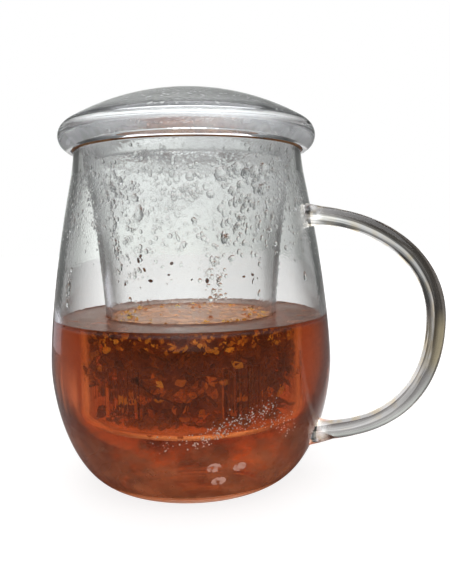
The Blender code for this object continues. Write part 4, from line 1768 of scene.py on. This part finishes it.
@dataclass
class Condensation:
    """Drops and droplets that the steam leaves on the glass."""

    seed: int = 21
    sink: float = 0.04 * MM
    dome_from: float = 0.45 * MM
    run_from: float = 0.5 * MM
    under_lid: int = 1500
    under_lid_spread: float = 21.0

    def shapes(self) -> list[Item]:
        """Return the shapes, in the order of DropKind."""
        return [ShapeShop.drop(False, flatten=0.42), ShapeShop.drop(True, flatten=0.26),
                ShapeShop.drop(True, stretch=1.9, flatten=0.36)]

    def kind(self, size: float) -> DropKind:
        """Return the kind of drop that a size has outside the clusters."""
        return DropKind.DROPLET if size < self.run_from else DropKind.DROP

    def fill(self, scatter: Scatter, wall: Wall, clusters: Sequence[Cluster], draw: random.Random) -> None:
        """Place the clusters' drops on a wall, small ones more often than large ones.

        Args:
            scatter: Takes the drops.
            wall: The wall.
            clusters: The clusters.
            draw: Source of chance.
        """
        for cluster in clusters:
            for _ in range(cluster.count):
                angle = math.radians(draw.gauss(cluster.angle, cluster.wide))
                height = draw.gauss(cluster.height, cluster.tall) * MM
                size = (cluster.least + (cluster.most - cluster.least) * draw.random() ** 2.5) * MM
                kind = DropKind.DROPLET if size < self.dome_from else DropKind.DROP
                if size > self.run_from and draw.random() < cluster.run:
                    kind = DropKind.RUN
                shape = Vector((draw.uniform(0.9, 1.25), draw.uniform(0.85, 1.1),
                                draw.uniform(0.6, 0.95))) * size
                place = wall.seat(angle, height, shape, self.sink, draw.gauss(0.0, 0.15))
                scatter.add(kind.value, place, draw.random())

    def band(self, scatter: Scatter, wall: Wall, draw: random.Random, count: int, low: float, high: float,
             least: float, most: float, bias: float = 1.0) -> None:
        """Place droplets in patches all round a wall.

        Args:
            scatter: Takes the droplets.
            wall: The wall.
            draw: Source of chance.
            count: How many there are.
            low: Lowest place.
            high: Highest place.
            least: Least size.
            most: Most size.
            bias: How much denser they are near the top.
        """
        placed = 0
        while placed < count:
            angle = draw.uniform(0.0, 2 * math.pi)
            share = draw.random() ** (1.0 / bias)
            height = low + (high - low) * share
            patch = noise.noise(Vector((math.cos(angle) * 4.0, math.sin(angle) * 4.0, height * 120.0)))
            if patch < draw.uniform(-0.5, 0.25):
                continue
            size = least + (most - least) * draw.random() ** 3
            shape = Vector((draw.uniform(0.9, 1.2), draw.uniform(0.85, 1.1),
                            draw.uniform(0.55, 0.85))) * size
            scatter.add(self.kind(size).value, wall.seat(angle, height, shape, self.sink), draw.random())
            placed += 1

    def finish(self, scatter: Scatter, slot: str) -> None:
        """Join, dress and mount a piece of drops.

        Args:
            scatter: The drops.
            slot: Material slot of the glass that they are on; not used.
        """
        item = scatter.join()
        item.data.materials.append(WaterFinish(name=f"water_{scatter.name}").build())
        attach(item, BODY)
        log.info("%s: %d drops", item.name, len(scatter.placed))

    def build(self, cup: Cup, infuser: Infuser, lid: Lid) -> None:
        """Build the drops on the infuser, on the cup's inner wall and under the lid.

        Args:
            cup: The cup.
            infuser: The infuser.
            lid: The lid.
        """
        draw = random.Random(self.seed)
        outside = Wall(infuser.outer_radius)
        inside = Wall(cup.inner_radius, -1.0)
        on_infuser = Scatter("drops_on_infuser", self.shapes())
        self.fill(on_infuser, outside, INFUSER_CLUSTERS, draw)
        self.band(on_infuser, outside, draw, 1500, 62.0 * MM, 100.5 * MM, 0.16 * MM, 0.75 * MM, bias=2.2)
        self.finish(on_infuser, "infuser_glass")
        on_cup = Scatter("drops_on_cup", self.shapes())
        self.fill(on_cup, inside, CUP_CLUSTERS, draw)
        self.band(on_cup, inside, draw, 1600, 68.0 * MM, 94.0 * MM, 0.15 * MM, 0.7 * MM, bias=2.6)
        self.finish(on_cup, "clear_glass")
        under_lid = Scatter("drops_under_lid", self.shapes())
        self.hang(under_lid, lid, draw)
        self.finish(under_lid, "lid_glass")

    def hang(self, scatter: Scatter, lid: Lid, draw: random.Random) -> None:
        """Place the drops that hang under the lid's crown.

        Args:
            scatter: Takes the drops.
            lid: The lid.
            draw: Source of chance.
        """
        middle = Vector((0.0, 0.0, lid.top - lid.dome))
        for _ in range(self.under_lid):
            tilt = math.sqrt(draw.random()) * math.radians(self.under_lid_spread)
            angle = draw.uniform(0.0, 2 * math.pi)
            out = Vector((math.sin(tilt) * math.cos(angle), math.sin(tilt) * math.sin(angle),
                          math.cos(tilt)))
            size = (0.3 + 1.0 * draw.random() ** 2.5) * MM
            turn = (-out).to_track_quat("Z", "X").to_matrix().to_4x4()
            place = Matrix.Translation(middle + out * (lid.dome - lid.wall + self.sink))
            shape = Matrix.Diagonal((size, size, size * 1.5, 1.0))
            scatter.add(self.kind(size).value, place @ turn @ shape, draw.random())


INFUSER_CLUSTERS = (
    Cluster(-91.9, 82.3, 0.3, 0.2, 1, 1.3, 1.35, 1.0),
    Cluster(-46.8, 74.8, 1.0, 0.8, 4, 0.8, 1.3, 0.2),
    Cluster(-38.3, 92.4, 9.0, 2.2, 16, 0.8, 2.0, 0.0),
    Cluster(-24.0, 92.0, 8.0, 2.2, 12, 0.8, 1.9, 0.0),
    Cluster(-38.0, 88.0, 6.0, 3.0, 40, 0.3, 0.9),
    Cluster(-38.0, 80.5, 4.0, 4.5, 70, 0.3, 0.9, 0.25),
    Cluster(-19.0, 82.0, 5.0, 7.0, 60, 0.3, 0.9, 0.3),
    Cluster(-52.0, 67.5, 3.6, 3.0, 70, 0.25, 0.7, 0.1),
    Cluster(-50.0, 59.5, 2.5, 0.8, 22, 0.3, 0.8, 0.0),
    Cluster(-102.0, 89.0, 6.0, 2.5, 34, 0.5, 1.3, 0.2),
    Cluster(-111.0, 78.0, 1.5, 8.0, 46, 0.3, 0.9, 0.4),
    Cluster(-70.0, 89.0, 9.0, 2.5, 40, 0.4, 1.2, 0.1),
    Cluster(-62.0, 78.0, 12.0, 4.0, 40, 0.3, 0.9, 0.2),
    Cluster(-95.0, 72.0, 8.0, 5.0, 30, 0.25, 0.7, 0.2),
    Cluster(100.0, 86.0, 60.0, 7.0, 160, 0.3, 1.4, 0.2),
    Cluster(160.0, 76.0, 30.0, 8.0, 80, 0.3, 1.0, 0.3),
)

CUP_CLUSTERS = (
    Cluster(-131.0, 84.0, 6.0, 4.5, 70, 0.4, 1.3, 0.5),
    Cluster(-122.0, 62.5, 1.0, 3.0, 26, 0.3, 0.8, 0.5),
    Cluster(-64.0, 93.5, 30.0, 1.5, 120, 0.25, 0.7, 0.1),
    Cluster(-20.0, 82.0, 9.0, 6.0, 60, 0.3, 1.0, 0.4),
    Cluster(110.0, 82.0, 60.0, 7.0, 160, 0.3, 1.1, 0.3),
)


@dataclass
class Sediment:
    """Thin film of fine tea dust on the bottom of the bowl, which fades out up the wall."""

    gap: float = 0.35 * MM
    thickness: float = 0.1 * MM
    top: float = 22.0 * MM

    def build(self, cup: Cup) -> None:
        """Build and dress the film.

        Args:
            cup: The cup whose bottom it lies on.
        """
        low = cup.floor + self.gap
        heights = spread(cup.bowl_start, self.top, 12)
        outer = cup.cavity(cup.wall + self.gap, low, heights)
        inner = cup.cavity(cup.wall + self.gap + self.thickness, low + self.thickness, heights)
        film = Workbench.turn("tea_sediment", outer + inner[::-1])
        stops = ((0.003, 1.0), (0.016, 0.9), (0.0205, 0.6), (0.022, 0.0))
        finish = FilmFinish("tea_dust", (0.85, 0.5, 0.3), (0.6, 0.24, 0.1), 95.0, thin=(0.44, 0.62),
                            most=0.5, fade=stops)
        film.data.materials.append(finish.build())
        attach(film, BODY)


@dataclass(frozen=True)
class Strand:
    """Band of bubbles: where it starts and ends (degrees about Z and mm up), its count and its width."""

    start: tuple[float, float]
    end: tuple[float, float]
    count: int
    loose: float


STRANDS = (
    Strand((-80.0, 22.3), (-60.0, 22.2), 44, 1.0),
    Strand((-64.0, 22.5), (-54.0, 25.5), 50, 1.3),
    Strand((-57.0, 25.4), (-44.0, 28.4), 80, 1.6),
    Strand((-46.0, 28.2), (-34.0, 29.8), 60, 1.4),
    Strand((-40.0, 28.5), (-23.0, 22.5), 70, 2.0),
    Strand((95.0, 24.0), (140.0, 29.0), 70, 1.6),
)


@dataclass
class Bubbles:
    """Bands of little air bubbles that cling to the cup's wall under the tea."""

    seed: int = 5

    def build(self, cup: Cup) -> None:
        """Build and dress the bubbles.

        Args:
            cup: The cup that they cling to.
        """
        draw = random.Random(self.seed)
        wall = Wall(cup.inner_radius, -1.0)
        scatter = Scatter("air_bubbles", [ShapeShop.bead()])
        for strand in STRANDS:
            (near, low), (far, high) = strand.start, strand.end
            for _ in range(strand.count):
                share = draw.random()
                angle = math.radians(near + (far - near) * share + draw.gauss(0.0, strand.loose))
                height = (low + (high - low) * share + draw.gauss(0.0, strand.loose)) * MM
                size = (0.11 + 0.17 * draw.random() ** 2) * MM
                scatter.add(0, wall.seat(angle, height, Vector((size,) * 3), -0.35 * size), draw.random())
        item = scatter.join()
        item.data.materials.append(BubbleFinish().build())
        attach(item, BODY)
        log.info("%s: %d bubbles", item.name, len(scatter.placed))


@dataclass
class Specks:
    """Crumbs of leaf that stick to the infuser's wall above the tea."""

    seed: int = 9
    sink: float = 0.1 * MM
    places: tuple[tuple[float, float, float], ...] = (
        (-88.3, 63.7, 1.2), (-91.7, 66.8, 1.0), (-55.9, 63.6, 1.3), (-26.2, 62.8, 1.8), (-77.3, 65.4, 0.7),
        (-95.2, 69.4, 1.2), (-93.5, 70.6, 1.0), (-64.5, 64.0, 0.6), (-78.5, 63.0, 0.7), (-33.0, 64.2, 0.9),
        (60.0, 62.0, 1.5), (130.0, 66.0, 1.2), (175.0, 60.0, 1.4),
    )

    def build(self, infuser: Infuser) -> None:
        """Build and dress the crumbs.

        Args:
            infuser: The infuser that they stick to.
        """
        draw = random.Random(self.seed)
        wall = Wall(infuser.outer_radius)
        scatter = Scatter("leaf_specks", [ShapeShop.bud(5), ShapeShop.stem(120.0, 0.14)])
        for index, (angle, height, size) in enumerate(self.places):
            shape = Vector((size, size * 0.8, size * 0.5)) * MM
            place = wall.seat(math.radians(angle), height * MM, shape, self.sink, draw.uniform(0.0, math.pi))
            scatter.add(int(index % 5 == 3), place, draw.random())
        item = scatter.join()
        item.data.materials.append(LeafFinish("leaf_speck", BUD_STOPS).build())
        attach(item, BODY)
        log.info("%s: %d specks", item.name, len(scatter.placed))


@dataclass
class RimFilm:
    """Brown film of tea in the gap between the cup's lip, the infuser's flange and the lid's edge."""

    outline: tuple[tuple[float, float], ...] = (
        (35.15, 104.5), (35.25, 103.6), (35.3, 102.75), (35.43, 101.8), (35.6, 101.75), (35.76, 102.3),
        (35.7, 103.2), (35.5, 104.4), (35.15, 104.5),
    )

    def build(self) -> None:
        """Build and dress the film."""
        film = Workbench.turn("rim_film", [(radius * MM, height * MM) for radius, height in self.outline])
        finish = FilmFinish(light=(0.5, 0.25, 0.11), dark=(0.2, 0.07, 0.03), thin=(0.2, 0.45), most=0.97,
                            patch=70.0)
        film.data.materials.append(finish.build())
        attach(film, BODY)


@dataclass(frozen=True)
class GleamFinish:
    """Soft pinkish gleam of a lamp on the bowl, broken up like light on rippled glass."""

    name: str = "lamp_gleam"
    colour: Colour = (1.0, 0.52, 0.4)
    strength: float = 0.46

    def build(self) -> Material:
        """Lay out the material's nodes.

        Returns:
            The material.
        """
        bench = MaterialBench(self.name)
        bench.set(Base_Color=(0.02, 0.02, 0.02, 1.0), Specular_IOR_Level=0.0)
        bench.set(Emission_Color=(*self.colour, 1.0), Emission_Strength=self.strength)
        bench.drive("Roughness", bench.spread(bench.noise(500.0), 0.3, 0.7, 0.5, 0.8))
        bench.drive("Alpha", bench.spread(bench.noise(620.0, 2.0), 0.38, 0.56, 0.0, 0.75))
        return bench.material


@dataclass
class Gleams:
    """Three small soft gleams low on the bowl, and two behind."""

    places: tuple[tuple[float, float, float], ...] = (
        (-57.9, 14.7, 4.4), (-47.7, 14.1, 4.2), (-55.7, 10.1, 4.6), (122.0, 14.7, 4.4), (132.0, 14.1, 4.2),
    )

    def build(self, cup: Cup) -> None:
        """Build and dress the gleams, thin as a coat on the outer wall.

        Args:
            cup: The cup that they are on.
        """
        wall = Wall(cup.outer_radius)
        scatter = Scatter("lamp_gleams", [ShapeShop.drop(True, flatten=0.3)])
        for angle, height, size in self.places:
            shape = Vector((size * 0.35, size * 0.46, size * 0.02)) * MM
            scatter.add(0, wall.seat(math.radians(angle), height * MM, shape, 0.01 * MM, 0.2), 0.5)
        item = scatter.join()
        item.data.materials.append(GleamFinish().build())
        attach(item, BODY)
        log.info("%s: %d gleams", item.name, len(scatter.placed))


@dataclass
class SurfaceFilm:
    """Faint brown skin of tannin and leaf dust that floats on the tea, outside and inside the infuser, and
    gives off a faint painted light.
    """

    lift: float = 0.06 * MM
    thickness: float = 0.03 * MM
    margin: float = 0.12 * MM

    def build(self, cup: Cup, infuser: Infuser, tea: Tea) -> None:
        """Build and dress both parts of the skin.

        Args:
            cup: The cup.
            infuser: The infuser.
            tea: The tea that the skin floats on.
        """
        near = tea.climb_points(infuser.outer_radius(tea.level) + self.margin, 1.0)
        far = tea.climb_points(cup.inner_radius(tea.level) - self.margin, -1.0)
        within = tea.climb_points(infuser.inner_radius(tea.level) - self.margin, -1.0) + [(0.0, tea.level)]
        ring, ring_top = self.layers(near + far[::-1])
        disc, disc_top = self.layers(within)
        # Painted light: both skins give off a faint light, the one among the leaves most.
        outside = FilmFinish("tea_skin", (0.8, 0.36, 0.22), (0.5, 0.2, 0.11), 70.0, thin=(0.3, 0.62),
                             most=0.6, painted_glow=0.04)
        inside = FilmFinish("leafy_skin", (1.0, 0.62, 0.36), (0.4, 0.17, 0.07), 130.0, thin=(0.32, 0.6),
                            most=0.68, painted_glow=0.2)
        for name, outline, finish in (("surface_film", ring + ring_top[::-1] + ring[:1], outside),
                                      ("surface_film_inside", disc[::-1] + disc_top, inside)):
            film = Workbench.turn(name, outline)
            film.data.materials.append(finish.build())
            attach(film, BODY)

    def layers(self, line: Outline) -> tuple[Outline, Outline]:
        """Return the under and upper side of a skin that follows a line."""
        under = [(radius, height + self.lift) for radius, height in line]
        return under, [(radius, height + self.thickness) for radius, height in under]


@dataclass(frozen=True)
class Panel:
    """Soft light: where it hangs, what it points at, its size, power and colour."""

    name: str
    place: tuple[float, float, float]
    size: tuple[float, float]
    power: float
    colour: Colour = (1.0, 1.0, 1.0)
    target: tuple[float, float, float] = (0.0, 0.0, 0.055)


@dataclass
class Studio:
    """Pale floor, soft surroundings, soft lights and the camera of the photograph."""

    turn: float = 25.0
    distance: float = 193.2 * MM
    height: float = 76.52 * MM
    pitch: float = 5.76
    yaw: float = 3.25
    roll: float = 1.0
    focus: float = 597.0
    long_side: int = 588
    film: float = 36.0
    floor_radius: float = 2.2
    floor_sides: int = 96
    bounces: int = 32
    gloss_bounces: int = 8
    clamp: float = 6.0
    behind: Stops = ((0.0, 0.0), (0.09, 0.0), (0.15, 0.62), (0.32, 0.52), (0.55, 0.6), (1.0, 0.8))
    sideways: Stops = ((0.0, 0.08), (0.28, 0.12), (0.34, 0.45), (0.4, 1.08), (0.5, 1.0), (0.58, 0.74),
                       (0.65, 0.32), (0.74, 0.12), (1.0, 0.08))
    upwards: Stops = ((0.0, 0.8), (0.5, 1.0), (0.56, 1.15), (0.61, 0.95), (0.68, 0.42), (0.8, 0.36),
                      (1.0, 0.9))
    backwards: Stops = ((0.0, 0.5), (0.4, 0.7), (0.6, 0.9), (1.0, 1.0))

    def side_axes(self) -> tuple[Vector, Vector]:
        """Return the directions to the right and away from the camera, level with the floor."""
        spin = Matrix.Rotation(math.radians(self.turn), 3, "Z")
        return spin @ Vector((1.0, 0.0, 0.0)), spin @ Vector((0.0, 1.0, 0.0))

    def place(self, right: float, away: float, up: float) -> Vector:
        """Return the point that lies so far to the right, away and up, seen from the camera."""
        across, back = self.side_axes()
        return across * right + back * away + Vector((0.0, 0.0, up))

    def add_camera(self) -> None:
        """Set up the camera with the photograph's view."""
        bpy.ops.object.camera_add(location=self.place(0.0, -self.distance, self.height))
        camera = bpy.context.object
        across, back = self.side_axes()
        yaw, pitch, roll = (math.radians(angle) for angle in (self.yaw, self.pitch, self.roll))
        right = across * math.cos(yaw) - back * math.sin(yaw)
        level = across * math.sin(yaw) + back * math.cos(yaw)
        up = Vector((0.0, 0.0, math.cos(pitch))) + level * math.sin(pitch)
        lean_right = right * math.cos(roll) - up * math.sin(roll)
        lean_up = right * math.sin(roll) + up * math.cos(roll)
        camera.rotation_mode = "QUATERNION"
        axes = Matrix((lean_right, lean_up, lean_right.cross(lean_up))).transposed()
        camera.rotation_quaternion = axes.to_quaternion()
        camera.data.sensor_width = self.film
        camera.data.lens = self.focus * self.film / self.long_side
        camera.data.clip_start, camera.data.clip_end = 0.005, 20.0
        bpy.context.scene.camera = camera

    def add_floor(self) -> None:
        """Lay the pale floor."""
        Workbench.pick()
        bpy.ops.mesh.primitive_circle_add(vertices=self.floor_sides, radius=self.floor_radius,
                                          fill_type="NGON")
        floor = bpy.context.object
        floor.name = "studio_floor"
        bench = MaterialBench("pale_floor")
        bench.set(Roughness=0.7, Base_Color=(0.26, 0.24, 0.23, 1.0), Emission_Color=WHITE)
        bench.drive("Emission Strength", self.floor_glow(bench))
        floor.data.materials.append(bench.material)

    def floor_glow(self, bench: NodeBench) -> Socket:
        """Lay out how brightly the floor shines.

        Args:
            bench: The nodes of the floor's material.

        Returns:
            The brightness: nearly even where the camera sees the floor, and through the glass bright
            behind the cup and dim beside it.
        """
        place = bench.node("ShaderNodeTexCoord").outputs["Object"]
        length = bench.node("ShaderNodeVectorMath", operation="LENGTH")
        bench.link(place, length.inputs[0])
        plain = bench.spread(length.outputs["Value"], 0.05, 0.3, 0.86, 1.1)
        turned = bench.node("ShaderNodeVectorRotate", rotation_type="Z_AXIS")
        turned.inputs["Angle"].default_value = -math.radians(self.turn)
        bench.link(place, turned.inputs["Vector"])
        split = bench.node("ShaderNodeSeparateXYZ")
        bench.link(turned.outputs["Vector"], split.inputs["Vector"])
        across, away = split.outputs["X"], split.outputs["Y"]
        behind = bench.greys(bench.spread(away, -0.05, 0.45), self.behind)
        depth = bench.plus(bench.math("ABSOLUTE", away), 0.19)
        sight = bench.math("DIVIDE", bench.math("SUBTRACT", across, 0.022), depth)
        beside = bench.spread(bench.math("ABSOLUTE", sight), 0.19, 0.35, 1.15, 0.06)
        right = bench.spread(bench.math("DIVIDE", across, depth), -0.05, 0.25, 1.0, 0.74)
        lit = bench.times(behind, bench.times(beside, right))
        return bench.blend(bench.node("ShaderNodeLightPath").outputs["Is Camera Ray"], lit, plain)

    def add_surroundings(self) -> None:
        """Fill the room with soft grey light that is paler behind and before the cup than beside it."""
        world = bpy.data.worlds.new("studio")
        bpy.context.scene.world = world
        world.use_nodes = True
        world.node_tree.nodes.clear()
        bench = NodeBench(world.node_tree)
        turn = bench.node("ShaderNodeMapping")
        turn.inputs["Rotation"].default_value = (0.0, 0.0, -math.radians(self.turn))
        bench.link(bench.node("ShaderNodeTexCoord").outputs["Generated"], turn.inputs["Vector"])
        split = bench.node("ShaderNodeSeparateXYZ")
        bench.link(turn.outputs["Vector"], split.inputs["Vector"])
        shade = WHITE
        for axis, stops in (("X", self.sideways), ("Z", self.upwards), ("Y", self.backwards)):
            share = bench.spread(split.outputs[axis], -1.0, 1.0)
            part = bench.ramp(share, [(place, (value, value * 1.01, value)) for place, value in stops])
            shade = bench.blend(1.0, shade, part, data_type="RGBA", blend_type="MULTIPLY")
        soft, plain = bench.node("ShaderNodeBackground"), bench.node("ShaderNodeBackground")
        bench.link(shade, soft.inputs["Color"])
        plain.inputs["Color"].default_value = WHITE
        mix = bench.node("ShaderNodeMixShader")
        bench.link(bench.node("ShaderNodeLightPath").outputs["Is Camera Ray"], mix.inputs["Fac"])
        bench.link(soft.outputs["Background"], mix.inputs[1])
        bench.link(plain.outputs["Background"], mix.inputs[2])
        output = bench.node("ShaderNodeOutputWorld")
        bench.link(mix.outputs["Shader"], output.inputs["Surface"])

    def add_panels(self) -> None:
        """Hang the soft lights."""
        for panel in PANELS:
            place = self.place(*panel.place)
            bpy.ops.object.light_add(type="AREA", location=place)
            light = bpy.context.object
            light.name = panel.name
            light.data.shape = "RECTANGLE"
            light.data.size, light.data.size_y = panel.size
            light.data.energy = panel.power
            light.data.color = panel.colour
            light.rotation_mode = "QUATERNION"
            aim = self.place(*panel.target) - place
            light.rotation_quaternion = aim.to_track_quat("-Z", "Y")
            light.visible_camera = False

    def build(self) -> None:
        """Set up the whole studio."""
        self.add_camera()
        self.add_floor()
        self.add_surroundings()
        self.add_panels()
        scene = bpy.context.scene
        scene.view_settings.view_transform = "Standard"
        scene.cycles.max_bounces = self.bounces
        scene.cycles.transmission_bounces = self.bounces
        scene.cycles.transparent_max_bounces = self.bounces
        scene.cycles.glossy_bounces = self.gloss_bounces
        scene.cycles.sample_clamp_indirect = self.clamp


PANELS = (
    Panel("ceiling_panel", (0.0, -0.12, 0.75), (0.9, 0.95), 6.2, (0.95, 0.96, 1.0)),
    Panel("left_card", (-0.222, 0.187, 0.018), (0.116, 0.033), 0.006, (0.9, 0.9, 1.0), (-0.04, 0.0, 0.018)),
)


def main() -> None:
    """Build and dress the cup of tea and its studio."""
    logging.basicConfig(level=logging.INFO, format="%(message)s")
    Studio().build()
    cup, infuser, lid, tea = Cup(), Infuser(), Lid(), Tea()
    for part, dressing in ((cup, (tea.level,)), (infuser, (tea.level,)), (lid, ())):
        item = part.build()
        part.dress(item, *dressing)
        log.info("%s: %d faces", item.name, len(item.data.polygons))
    fill = tea.build(cup, infuser)
    tea.dress(fill)
    log.info("%s: %d faces", fill.name, len(fill.data.polygons))
    LeafBed().build()
    Condensation().build(cup, infuser, lid)
    Sediment().build(cup)
    Bubbles().build(cup)
    Specks().build(infuser)
    RimFilm().build()
    SurfaceFilm().build(cup, infuser, tea)
    Gleams().build(cup)


if __name__ == "__main__":
    main()
